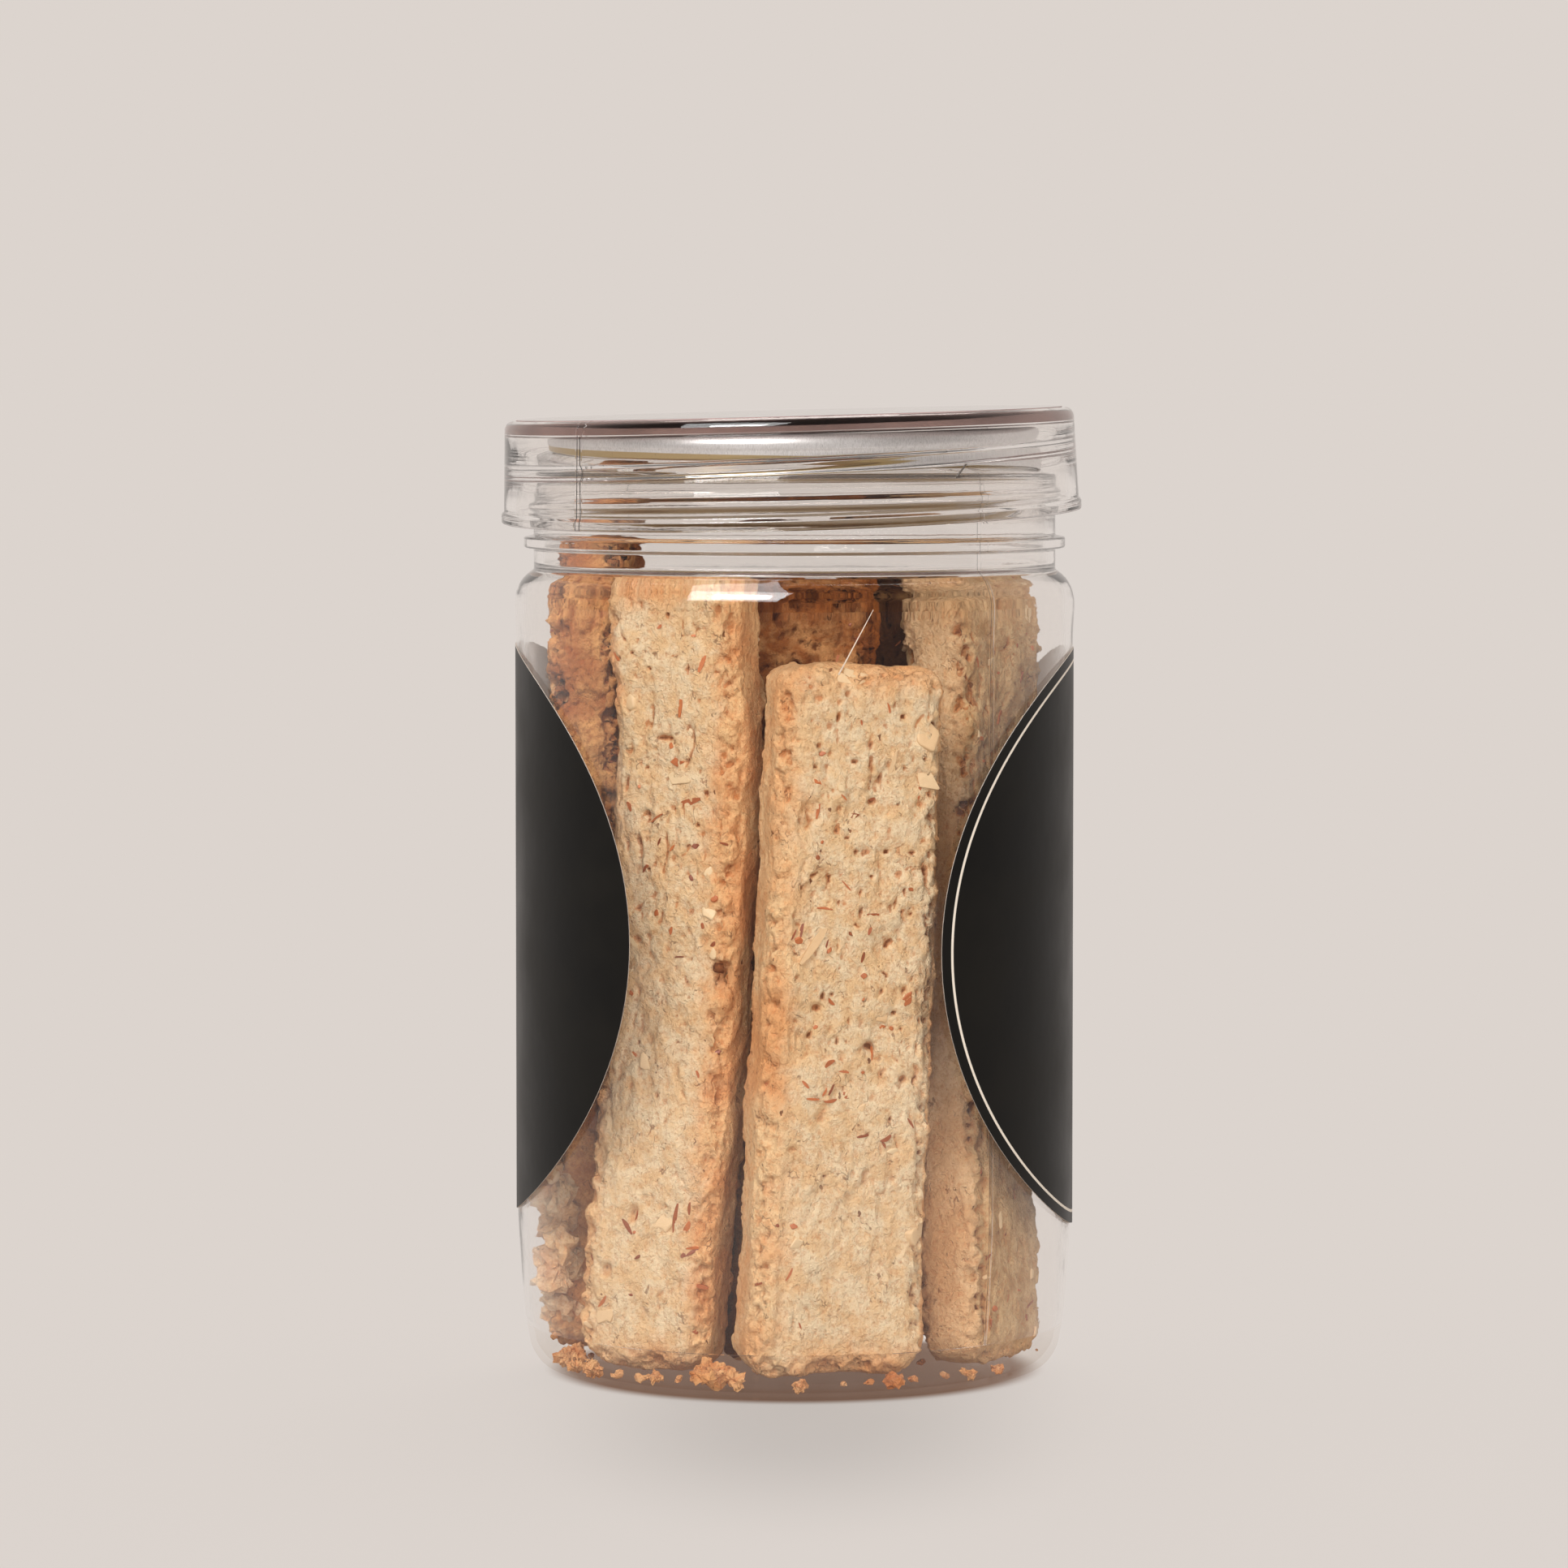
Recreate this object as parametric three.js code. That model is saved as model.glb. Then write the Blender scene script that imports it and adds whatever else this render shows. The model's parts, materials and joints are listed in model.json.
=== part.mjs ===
// A shut, clear screw-lid jar filled with upright almond biscotti.
// Millimetres, +Z up. The origin is the centre of the jar's foot ring, the front of the jar faces -Y.
import * as THREE from "three";
import { mergeVertices } from "three/addons/utils/BufferGeometryUtils.js";

// Jar
const ROUND_STEPS = 48;
const FOOT_IN_R = 31.5;
const FOOT_OUT_R = 35.2;
const BODY_R = 42.5;
const BODY_WALL = 1.4;
const BODY_LOW_Z = 25;
const SHOULDER_LOW_Z = 113;
const SHOULDER_R = 42.7;
const NECK_R = 39.8;
const NECK_WALL = 1.5;
const NECK_LOW_Z = 122.7;
const RING_R = 41.3;
const RING_LOW_Z = 126.0;
const RING_HIGH_Z = 127.6;
const NECK_HIGH_Z = 137.8;
const MOUTH_R = 37.0;
const MOUTH_IN_R = 35.9;
const MOUTH_Z = 140.3;
const JAR_THREAD = { height: 0.7, half: 1.2, crest: 0.45, pitch: 4.5, middleZ: 133.3 };

// Lid, in its own frame: its rim at z = 0, then tipped and set down askew on the neck
const LID_HEIGHT = 15.5;
const LID_TOP_R = 43.4;
const LID_RIM_R = 43.85;
const LID_FLANGE_R = 44.25;
const LID_FLANGE_Z = 1.4;
const LID_IN_R = 42.0;
const LID_PLATE = 1.2;
const LID_THREAD = { height: -0.55, half: 1.2, crest: 0.45, pitch: 4.6, middleZ: 8.75 };
const LID_PLACE = new THREE.Vector3(-0.43, 0, 130.8);
const LID_TIP_SIDE = -1.49;
const LID_TIP_FRONT = 1.0;
const TOP_LABEL_R = 41.6;
const TOP_LABEL_THICK = 0.25;

// Metal end, seamed over the mouth under the lid
const SEAM_R = 37.75;
const SEAM_IN_R = 36.0;
const SEAM_HIGH_Z = 143.5;
const SEAM_LOW_Z = 139.5;
const SEAM_GAP = 0.3;
const PANEL_R = 33.2;
const PANEL_LOW_Z = 139.3;
const PANEL_THICK = 0.7;
const GROOVE_Z = 138.3;

// Two round labels, wrapped round the body
const LABEL_THICK = 0.25;
const LABEL_CLEAR = 0.45;
const LABELS = [
  { name: "label_left", turn: -93, z: 68.0, r: 43.4 },
  { name: "label_right", turn: 89.5, z: 66.7, r: 44.1 },
];

// Biscotti. Each is a long slice: w is the width of its cut face, t its thickness, and turn the
// angle of the cut face from the front, towards +X. Foot and head are the two ends of its middle line,
// and bow is how far its middle bulges towards +X.
const CORNER_R = 2.6;
const RELIEF = 0.55;
const GRID = [5, 3, 12];
const BISCOTTI = [
  {
    name: "biscotto_front_left",
    seed: 11,
    bow: 1.4,
    foot: { x: -21.2, y: -17.6, z: 2.6, w: 21.4, t: 12.0, turn: -24 },
    head: { x: -16.7, y: -20.9, z: 122.0, w: 21.4, t: 12.0, turn: -24 },
  },
  {
    name: "biscotto_front_centre",
    seed: 23,
    foot: { x: 4.9, y: -27.3, z: 2.9, w: 27.3, t: 12.0, turn: 16 },
    head: { x: 8.9, y: -28.6, z: 109.3, w: 25.6, t: 12.0, turn: 14 },
  },
  {
    name: "biscotto_right",
    seed: 37,
    foot: { x: 28.2, y: -10.6, z: 2.6, w: 24.5, t: 11.5, turn: 64 },
    head: { x: 27.2, y: 0.8, z: 119.4, w: 25.6, t: 12.0, turn: 56 },
  },
  {
    name: "biscotto_left",
    seed: 41,
    foot: { x: -31.8, y: 3.3, z: 3.2, w: 19.5, t: 11.5, turn: 82 },
    head: { x: -29.6, y: 2.4, z: 127.6, w: 21.6, t: 11.5, turn: 80 },
  },
  {
    name: "biscotto_middle",
    seed: 59,
    foot: { x: 0.5, y: -5.8, z: 2.7, w: 26.0, t: 11.5, turn: 0 },
    head: { x: -0.5, y: -8.5, z: 119.8, w: 26.0, t: 11.5, turn: 2 },
  },
  {
    name: "biscotto_back_middle",
    seed: 67,
    foot: { x: 1.0, y: 13.5, z: 2.7, w: 22.9, t: 11.1, turn: 154.5 },
    head: { x: 1.2, y: 13.5, z: 118.5, w: 22.9, t: 11.1, turn: 154.5 },
  },
  {
    name: "biscotto_back_left",
    seed: 79,
    foot: { x: -17.6, y: 25.7, z: 2.6, w: 22.0, t: 10.8, turn: 32.7 },
    head: { x: -17.6, y: 25.7, z: 113.0, w: 22.0, t: 10.8, turn: 32.7 },
  },
  {
    name: "biscotto_back_right",
    seed: 97,
    foot: { x: 16.4, y: 23.5, z: 2.6, w: 21.3, t: 12.0, turn: 152.7 },
    head: { x: 16.4, y: 23.5, z: 119.5, w: 21.3, t: 12.0, turn: 152.7 },
  },
];

const COLOURS = {
  clear: 0xe6dcd4,
  metal: 0xb9b5b1,
  black: 0x26231f,
  biscuit: 0xdcb07e,
};

const { sin, cos, PI, hypot, floor, max, min, abs } = Math;

// A geometry as one surface with shared corners, empty faces dropped and its faces turned outwards.
function solid(geometry) {
  const bare = geometry.clone();
  for (const key of Object.keys(bare.attributes)) {
    if (key !== "position") bare.deleteAttribute(key);
  }
  const merged = mergeVertices(bare, 1e-4);
  const p = merged.attributes.position;
  const faces = [];
  let volume = 0;
  const corner = [new THREE.Vector3(), new THREE.Vector3(), new THREE.Vector3()];
  for (let i = 0; i < merged.index.count; i += 3) {
    const face = [0, 1, 2].map((k) => merged.index.getX(i + k));
    if (new Set(face).size < 3) continue;
    face.forEach((v, k) => corner[k].fromBufferAttribute(p, v));
    volume += corner[0].dot(corner[1].clone().cross(corner[2])) / 6;
    faces.push(face);
  }
  const outward = volume > 0 ? faces : faces.map(([a, b, c]) => [a, c, b]);
  merged.setIndex(outward.flat());
  merged.computeVertexNormals();
  return merged;
}

// A solid of revolution about Z. A profile point is [radius, z], or [radius, z, thread, row], whose
// height then climbs round the jar. The angle is 0 at the front and grows towards +X.
function turned(profile, steps) {
  const line = profile.map(([r, z]) => new THREE.Vector2(r, z));
  const shape = new THREE.LatheGeometry(line, steps);
  const p = shape.attributes.position;
  for (let i = 0; i <= steps; i += 1) {
    const share = (i / steps) % 1;
    const turn = share < 0.5 ? share : share - 1;
    const angle = share * 2 * PI;
    profile.forEach(([r, z, thread, row], j) => {
      let radius = r;
      let height = z;
      if (thread) {
        const fade = min(1, max(0, (0.5 - abs(turn)) / 0.08));
        const crest = row === 1 || row === 2;
        const offset = [-thread.half, -thread.crest, thread.crest, thread.half][row];
        radius = r + (crest ? thread.height * fade : 0);
        height = thread.middleZ + thread.pitch * turn + offset;
      }
      p.setXYZ(i * profile.length + j, radius * sin(angle), height, radius * cos(angle));
    });
  }
  shape.rotateX(PI / 2);
  return solid(shape);
}

function threadRows(radius, thread, upward) {
  const rows = upward ? [0, 1, 2, 3] : [3, 2, 1, 0];
  return rows.map((row) => [radius, thread.middleZ, thread, row]);
}

function jarShape() {
  const inR = BODY_R - BODY_WALL;
  const neckIn = NECK_R - NECK_WALL;
  return turned(
    [
      [0, 0.9],
      [FOOT_IN_R - 2, 0.7],
      [FOOT_IN_R, 0],
      [FOOT_OUT_R, 0],
      [38.8, 1.2],
      [40.4, 3.6],
      [41.3, 8.5],
      [42.0, 17],
      [BODY_R, BODY_LOW_Z],
      [BODY_R, SHOULDER_LOW_Z],
      [SHOULDER_R, 117.4],
      [42.4, 119.6],
      [41.5, 121.3],
      [NECK_R, NECK_LOW_Z],
      [NECK_R, RING_LOW_Z - 0.3],
      [RING_R, RING_LOW_Z],
      [RING_R, RING_HIGH_Z],
      [NECK_R, RING_HIGH_Z + 0.3],
      ...threadRows(NECK_R, JAR_THREAD, true),
      [NECK_R, NECK_HIGH_Z],
      [MOUTH_R, NECK_HIGH_Z + 1.1],
      [MOUTH_R, MOUTH_Z],
      [MOUTH_IN_R, MOUTH_Z],
      [MOUTH_IN_R, NECK_HIGH_Z + 0.7],
      [neckIn, NECK_HIGH_Z - 0.8],
      [neckIn, 123.6],
      [40.0, 121.0],
      [40.4, 116.0],
      [inR, 104],
      [inR, BODY_LOW_Z],
      [40.6, 17],
      [39.9, 8.5],
      [38.9, 4.4],
      [36.8, 2.2],
      [33.5, 1.4],
      [29.0, 1.9],
      [0, 2.1],
    ],
    ROUND_STEPS,
  );
}

function lidShape() {
  return turned(
    [
      [0, LID_HEIGHT - LID_PLATE],
      [LID_IN_R - 1.1, LID_HEIGHT - LID_PLATE],
      [LID_IN_R, LID_HEIGHT - LID_PLATE - 0.8],
      ...threadRows(LID_IN_R, LID_THREAD, false),
      [LID_IN_R, 2.2],
      [LID_IN_R + 0.4, 0],
      [LID_FLANGE_R, 0],
      [LID_FLANGE_R, LID_FLANGE_Z],
      [LID_RIM_R, LID_FLANGE_Z + 0.5],
      [LID_TOP_R, LID_HEIGHT - 1.1],
      [LID_TOP_R - 0.4, LID_HEIGHT - 0.3],
      [LID_TOP_R - 1.2, LID_HEIGHT],
      [0, LID_HEIGHT],
    ],
    ROUND_STEPS,
  );
}

function metalEndShape() {
  const shelf = MOUTH_Z + SEAM_GAP;
  return turned(
    [
      [0, PANEL_LOW_Z],
      [PANEL_R, PANEL_LOW_Z],
      [PANEL_R + 0.6, GROOVE_Z],
      [MOUTH_IN_R - 0.9, GROOVE_Z],
      [MOUTH_IN_R - SEAM_GAP, GROOVE_Z + 0.5],
      [MOUTH_IN_R - SEAM_GAP, shelf],
      [MOUTH_R + SEAM_GAP, shelf],
      [MOUTH_R + SEAM_GAP, SEAM_LOW_Z],
      [SEAM_R - 0.2, SEAM_LOW_Z],
      [SEAM_R, SEAM_LOW_Z + 1.4],
      [SEAM_R, SEAM_HIGH_Z - 0.5],
      [SEAM_R - 0.5, SEAM_HIGH_Z],
      [SEAM_IN_R, SEAM_HIGH_Z],
      [SEAM_IN_R - 0.6, SEAM_HIGH_Z - 0.6],
      [MOUTH_IN_R - 1.5, GROOVE_Z + 0.9],
      [PANEL_R + 0.9, GROOVE_Z + 0.7],
      [PANEL_R, PANEL_LOW_Z + PANEL_THICK],
      [0, PANEL_LOW_Z + PANEL_THICK],
    ],
    ROUND_STEPS,
  );
}

function topLabelShape() {
  const shape = new THREE.CylinderGeometry(TOP_LABEL_R, TOP_LABEL_R, TOP_LABEL_THICK, ROUND_STEPS);
  shape.rotateX(PI / 2);
  return solid(shape);
}

// A thin disc with rings of corners, bent round the body at the given turn and height.
function wrappedLabel({ turn, z, r }) {
  const rings = [0.2, 0.4, 0.6, 0.8, 1];
  const line = [new THREE.Vector2(0, 0)];
  rings.forEach((share) => line.push(new THREE.Vector2(r * share, 0)));
  rings.reverse().forEach((share) => line.push(new THREE.Vector2(r * share, LABEL_THICK)));
  line.push(new THREE.Vector2(0, LABEL_THICK));
  const shape = new THREE.LatheGeometry(line, 32);
  const p = shape.attributes.position;
  const inner = BODY_R + LABEL_CLEAR;
  for (let i = 0; i < p.count; i += 1) {
    const along = p.getX(i);
    const up = p.getZ(i);
    const radius = inner + p.getY(i);
    const angle = THREE.MathUtils.degToRad(turn) + along / inner;
    p.setXYZ(i, radius * sin(angle), -radius * cos(angle), z + up);
  }
  return solid(shape);
}

// Smooth seeded noise between -1 and 1, the same in every run.
function noise(x, y, z, seed) {
  const hash = (i, j, k) => {
    const v = sin(i * 127.1 + j * 311.7 + k * 74.7 + seed * 53.3) * 43758.5453;
    return (v - floor(v)) * 2 - 1;
  };
  const cell = [floor(x), floor(y), floor(z)];
  const f = [x, y, z].map((v, i) => v - cell[i]);
  const s = f.map((v) => v * v * (3 - 2 * v));
  let sum = 0;
  for (let c = 0; c < 8; c += 1) {
    const bit = [c & 1, (c >> 1) & 1, (c >> 2) & 1];
    const weight = bit.reduce((w, b, i) => w * (b ? s[i] : 1 - s[i]), 1);
    sum += weight * hash(cell[0] + bit[0], cell[1] + bit[1], cell[2] + bit[2]);
  }
  return sum;
}

// Moves the even grid lines of a box so that the outermost ones lie at the rounded corners.
function gridLine(value, half, count) {
  const step = (2 * half) / count;
  const index = Math.round((value + half) / step);
  if (index === 0 || index === count) return value;
  const inset = half - CORNER_R * 0.9;
  return -inset + ((index - 1) / (count - 2)) * 2 * inset;
}

// One long slice: a rounded box with an uneven crust and a crumbled cut face, leaning from foot to head.
function biscotto({ seed, foot, head, bow = 0 }) {
  const length = head.z - foot.z;
  const half = [foot.w / 2, foot.t / 2, length / 2];
  const shape = new THREE.BoxGeometry(2 * half[0], 2 * half[1], 2 * half[2], ...GRID);
  const p = shape.attributes.position;
  for (let i = 0; i < p.count; i += 1) {
    const raw = [p.getX(i), p.getY(i), p.getZ(i)].map((v, k) => gridLine(v, half[k], GRID[k]));
    const core = raw.map((v, k) => max(-half[k] + CORNER_R, min(half[k] - CORNER_R, v)));
    const out = raw.map((v, k) => v - core[k]);
    const reach = hypot(...out);
    const way = out.map((v) => v / reach);
    const coarse = noise(raw[0] / 9, raw[1] / 9, raw[2] / 11, seed);
    const fine = noise(raw[0] / 3.1, raw[1] / 3.1, raw[2] / 3.4, seed + 7);
    const depth = CORNER_R + RELIEF * (0.55 * coarse + 0.45 * fine - 0.6);
    const spot = core.map((v, k) => v + way[k] * depth);
    const share = (spot[2] + half[2]) / length;
    const mix = (key) => foot[key] + (head[key] - foot[key]) * share;
    const waist = 1 - 0.02 * (1 + noise(0.5, 0.5, share * 4, seed + 3));
    const a = THREE.MathUtils.degToRad(mix("turn"));
    const across = (spot[0] * waist * mix("w")) / foot.w;
    const deep = (spot[1] * mix("t")) / foot.t;
    const bulge = bow * 4 * share * (1 - share);
    const x = mix("x") + bulge + across * cos(a) - deep * sin(a);
    const y = mix("y") + across * sin(a) + deep * cos(a);
    p.setXYZ(i, x, y, foot.z + length / 2 + spot[2]);
  }
  return solid(shape);
}

function piece(name, geometry, colour, look) {
  const mesh = new THREE.Mesh(geometry, new THREE.MeshStandardMaterial({ color: colour, ...look }));
  mesh.name = name;
  return mesh;
}

const CLEAR = { roughness: 0.05, metalness: 0, transparent: true, opacity: 0.3 };
const jarOfBiscotti = new THREE.Group();
jarOfBiscotti.name = "jar_of_biscotti";

jarOfBiscotti.add(piece("jar", jarShape(), COLOURS.clear, CLEAR));
jarOfBiscotti.add(
  piece("metal_end", metalEndShape(), COLOURS.metal, { roughness: 0.3, metalness: 1 }),
);

const lidGroup = new THREE.Group();
lidGroup.position.copy(LID_PLACE);
lidGroup.rotation.set(
  THREE.MathUtils.degToRad(LID_TIP_FRONT),
  THREE.MathUtils.degToRad(LID_TIP_SIDE),
  0,
);
lidGroup.add(piece("lid", lidShape(), COLOURS.clear, CLEAR));
const topLabel = piece("label_top", topLabelShape(), COLOURS.black, { roughness: 0.35, metalness: 0 });
topLabel.position.z = LID_HEIGHT + SEAM_GAP / 3 + TOP_LABEL_THICK / 2;
lidGroup.add(topLabel);
jarOfBiscotti.add(lidGroup);

for (const label of LABELS) {
  const look = { roughness: 0.35, metalness: 0 };
  jarOfBiscotti.add(piece(label.name, wrappedLabel(label), COLOURS.black, look));
}

for (const slice of BISCOTTI) {
  const look = { roughness: 0.9, metalness: 0 };
  jarOfBiscotti.add(piece(slice.name, biscotto(slice), COLOURS.biscuit, look));
}

export default jarOfBiscotti;
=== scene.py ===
"""Looks, light and camera for a shut clear screw-lid jar filled with upright almond biscotti."""

import json
import logging
import math
import random
from contextlib import contextmanager
from dataclasses import dataclass, field
from enum import Enum
from typing import Callable, Iterator, Sequence

import bmesh
import bpy
import numpy as np
from mathutils import Matrix, Vector, noise
from mathutils.bvhtree import BVHTree

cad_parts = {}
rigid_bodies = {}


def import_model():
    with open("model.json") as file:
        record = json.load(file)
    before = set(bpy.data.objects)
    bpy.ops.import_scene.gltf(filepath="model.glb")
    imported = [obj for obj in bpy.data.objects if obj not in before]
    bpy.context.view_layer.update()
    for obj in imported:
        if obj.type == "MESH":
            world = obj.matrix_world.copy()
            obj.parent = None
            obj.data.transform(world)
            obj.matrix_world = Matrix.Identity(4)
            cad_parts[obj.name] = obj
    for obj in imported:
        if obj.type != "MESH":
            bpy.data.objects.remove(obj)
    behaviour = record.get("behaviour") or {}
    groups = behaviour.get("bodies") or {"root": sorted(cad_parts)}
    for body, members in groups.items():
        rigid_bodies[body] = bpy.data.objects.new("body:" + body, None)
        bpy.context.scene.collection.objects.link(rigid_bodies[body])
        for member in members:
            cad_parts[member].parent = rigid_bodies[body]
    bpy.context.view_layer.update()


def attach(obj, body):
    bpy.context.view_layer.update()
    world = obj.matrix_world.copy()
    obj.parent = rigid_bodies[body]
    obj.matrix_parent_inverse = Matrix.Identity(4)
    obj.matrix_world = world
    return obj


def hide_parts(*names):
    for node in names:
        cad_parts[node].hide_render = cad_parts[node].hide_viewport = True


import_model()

MM = 0.001
NEAR = 1e-6
WEIGHT_LEVELS = 8
SOFTENINGS = 7
LOG = logging.getLogger("biscotti_jar")

Piece = bpy.types.Object
Socket = bpy.types.NodeSocket
Colour = tuple[float, float, float]
Point = tuple[float, float]


def srgb(red: int, green: int, blue: int) -> Colour:
    """Turns a screen colour into the linear one that shaders take.

    Args:
        red: Red, 0 to 255.
        green: Green, 0 to 255.
        blue: Blue, 0 to 255.

    Returns:
        The linear colour.
    """
    def one(value: int) -> float:
        """Gives one channel in linear light."""
        share = value / 255
        return share / 12.92 if share <= 0.04045 else ((share + 0.055) / 1.055) ** 2.4

    return one(red), one(green), one(blue)


class Bench:
    """The modelling bench: small steps that every piece is made with."""

    @staticmethod
    def clear() -> None:
        """Deselects everything and leaves edit mode."""
        if bpy.context.object and bpy.context.object.mode != "OBJECT":
            bpy.ops.object.mode_set(mode="OBJECT")
        for thing in bpy.data.objects:
            thing.select_set(False)

    @staticmethod
    def take(piece: Piece) -> None:
        """Selects one piece alone and makes it active."""
        Bench.clear()
        piece.select_set(True)
        bpy.context.view_layer.objects.active = piece

    @staticmethod
    @contextmanager
    def edit(piece: Piece) -> Iterator[None]:
        """Opens a piece in edit mode with nothing selected, and closes it afterwards."""
        Bench.take(piece)
        bpy.ops.object.mode_set(mode="EDIT")
        bpy.ops.mesh.select_all(action="DESELECT")
        try:
            yield
        finally:
            bpy.ops.object.mode_set(mode="OBJECT")

    @staticmethod
    def pick(piece: Piece, wanted: Callable[[Vector], bool]) -> None:
        """Selects the corners of an open piece whose place passes a test.

        Args:
            piece: The piece, open in edit mode.
            wanted: Says whether a corner at that place is wanted.
        """
        bpy.ops.mesh.select_mode(type="VERT")
        mesh = bmesh.from_edit_mesh(piece.data)
        for corner in mesh.verts:
            corner.select = wanted(corner.co)
        mesh.select_flush_mode()
        bmesh.update_edit_mesh(piece.data)

    @staticmethod
    def pick_edges(piece: Piece, wanted: Callable[[Vector, Vector], bool]) -> None:
        """Selects the edges of an open piece whose two ends pass a test.

        Args:
            piece: The piece, open in edit mode.
            wanted: Says whether an edge between two places is wanted.
        """
        bpy.ops.mesh.select_mode(type="EDGE")
        mesh = bmesh.from_edit_mesh(piece.data)
        for edge in mesh.edges:
            edge.select = wanted(edge.verts[0].co, edge.verts[1].co)
        bmesh.update_edit_mesh(piece.data)

    @staticmethod
    def finish_modifiers(piece: Piece) -> None:
        """Applies every modifier of a piece in order."""
        Bench.take(piece)
        for modifier in list(piece.modifiers):
            bpy.ops.object.modifier_apply(modifier=modifier.name)

    @staticmethod
    def settle(piece: Piece) -> None:
        """Moves the object's place into its mesh, so that the object sits at the origin."""
        Bench.take(piece)
        bpy.ops.object.transform_apply(location=True, rotation=True, scale=True)

    @staticmethod
    def smooth(piece: Piece, degrees: float) -> None:
        """Shades a piece smooth, apart from edges sharper than the given angle."""
        Bench.take(piece)
        bpy.ops.object.shade_smooth_by_angle(angle=math.radians(degrees))

    @staticmethod
    def named(name: str) -> Piece:
        """Names the piece that was just added and gives it back."""
        piece = bpy.context.object
        piece.name = piece.data.name = name
        return piece

    @staticmethod
    def places(piece: Piece) -> np.ndarray:
        """Reads the places of a piece's corners.

        Args:
            piece: The piece, in object mode.

        Returns:
            The places in metres, one a row.
        """
        flat = np.empty(len(piece.data.vertices) * 3)
        piece.data.vertices.foreach_get("co", flat)
        return flat.reshape(-1, 3)

    @staticmethod
    def move(piece: Piece, places: np.ndarray) -> None:
        """Moves a piece's corners to new places, one a row."""
        piece.data.vertices.foreach_set("co", places.ravel())
        piece.data.update()

    @staticmethod
    def record(piece: Piece, name: str, values: np.ndarray) -> None:
        """Keeps one number for each corner of a piece, for its material to read."""
        layer = piece.data.attributes.new(name, "FLOAT", "POINT")
        layer.data.foreach_set("value", values.astype(np.float32))


@dataclass(frozen=True)
class Corner:
    """A corner of a turned profile, in millimetres: radius, height and the fillet on it."""

    r: float
    z: float
    fillet: float = 0.0


@dataclass(frozen=True)
class Thread:
    """A screw thread that climbs once round a turned wall."""

    height: float
    half: float
    crest: float
    pitch: float
    middle: float

    def rows(self, radius: float, upward: bool) -> list["Row"]:
        """Gives the profile rows of the ridge.

        Args:
            radius: Radius of the wall that the ridge stands on.
            upward: Whether the profile runs upwards there.

        Returns:
            The rows, from one foot of the ridge to the other.
        """
        outer = [-1.0, -0.86, -0.7, -0.5, -0.3, -0.1, 0.1, 0.3, 0.5, 0.7, 0.86, 1.0]
        made = []
        for share in outer:
            reach = abs(share) * self.half
            rise = min(1.0, max(0.0, (self.half - reach) / (self.half - self.crest)))
            made.append(Row(radius, self.middle + share * self.half, self, rise * rise * (3 - 2 * rise)))
        return made if upward else made[::-1]


@dataclass(frozen=True)
class Row:
    """One point of a traced profile, with the thread that it follows, if any."""

    r: float
    z: float
    thread: Thread | None = None
    rise: float = 0.0


def trace(corners: Sequence[Corner | Row]) -> list[Row]:
    """Rounds the corners of a profile and adds points beside each bend.

    Args:
        corners: The profile's corners and thread rows in order.

    Returns:
        The finished rows.
    """
    rows: list[Row] = []
    for i, corner in enumerate(corners):
        if isinstance(corner, Row):
            rows.append(corner)
            continue
        if not corner.fillet or i in (0, len(corners) - 1):
            rows.append(Row(corner.r, corner.z))
            continue
        here = Vector((corner.r, corner.z))
        back = Vector((corners[i - 1].r, corners[i - 1].z)) - here
        on = Vector((corners[i + 1].r, corners[i + 1].z)) - here
        bend = math.pi - back.angle(on)
        cut = min(corner.fillet * math.tan(bend / 2), 0.42 * back.length, 0.42 * on.length)
        start, end = here + back.normalized() * cut, here + on.normalized() * cut
        support = min(0.25, 0.3 * cut + 0.02)
        steps = max(3, min(9, int(math.degrees(bend) / 9)))
        rows.append(Row(*(start + back.normalized() * support)))
        for k in range(steps + 1):
            s = k / steps
            spot = start * (1 - s) ** 2 + here * 2 * s * (1 - s) + end * s * s
            rows.append(Row(*spot))
        rows.append(Row(*(end + on.normalized() * support)))
    return rows


def turned(name: str, rows: Sequence[Row], steps: int) -> Piece:
    """Traces a profile by extruding its last point, and spins it about Z.

    Args:
        name: Name of the new piece.
        rows: The profile, which starts and ends on the axis.
        steps: Steps of the spin.

    Returns:
        The closed piece, in metres.
    """
    Bench.clear()
    bpy.ops.mesh.primitive_plane_add(size=MM, location=(0, 0, 0))
    piece = Bench.named(name)
    with Bench.edit(piece):
        bpy.ops.mesh.select_all(action="SELECT")
        bpy.ops.mesh.merge(type="CENTER")
        bpy.ops.transform.translate(value=(0, -rows[0].r * MM, rows[0].z * MM))
        for last, row in zip(rows, rows[1:]):
            step = (0, -(row.r - last.r) * MM, (row.z - last.z) * MM)
            bpy.ops.mesh.extrude_vertices_move(TRANSFORM_OT_translate={"value": step})
        bpy.ops.mesh.select_all(action="SELECT")
        bpy.ops.mesh.spin(steps=steps, angle=2 * math.pi, center=(0, 0, 0), axis=(0, 0, 1))
        bpy.ops.mesh.select_all(action="SELECT")
        bpy.ops.mesh.remove_doubles(threshold=1e-6)
        bpy.ops.mesh.normals_make_consistent(inside=False)
    climb(piece, [row for row in rows if row.thread])
    return piece


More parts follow.
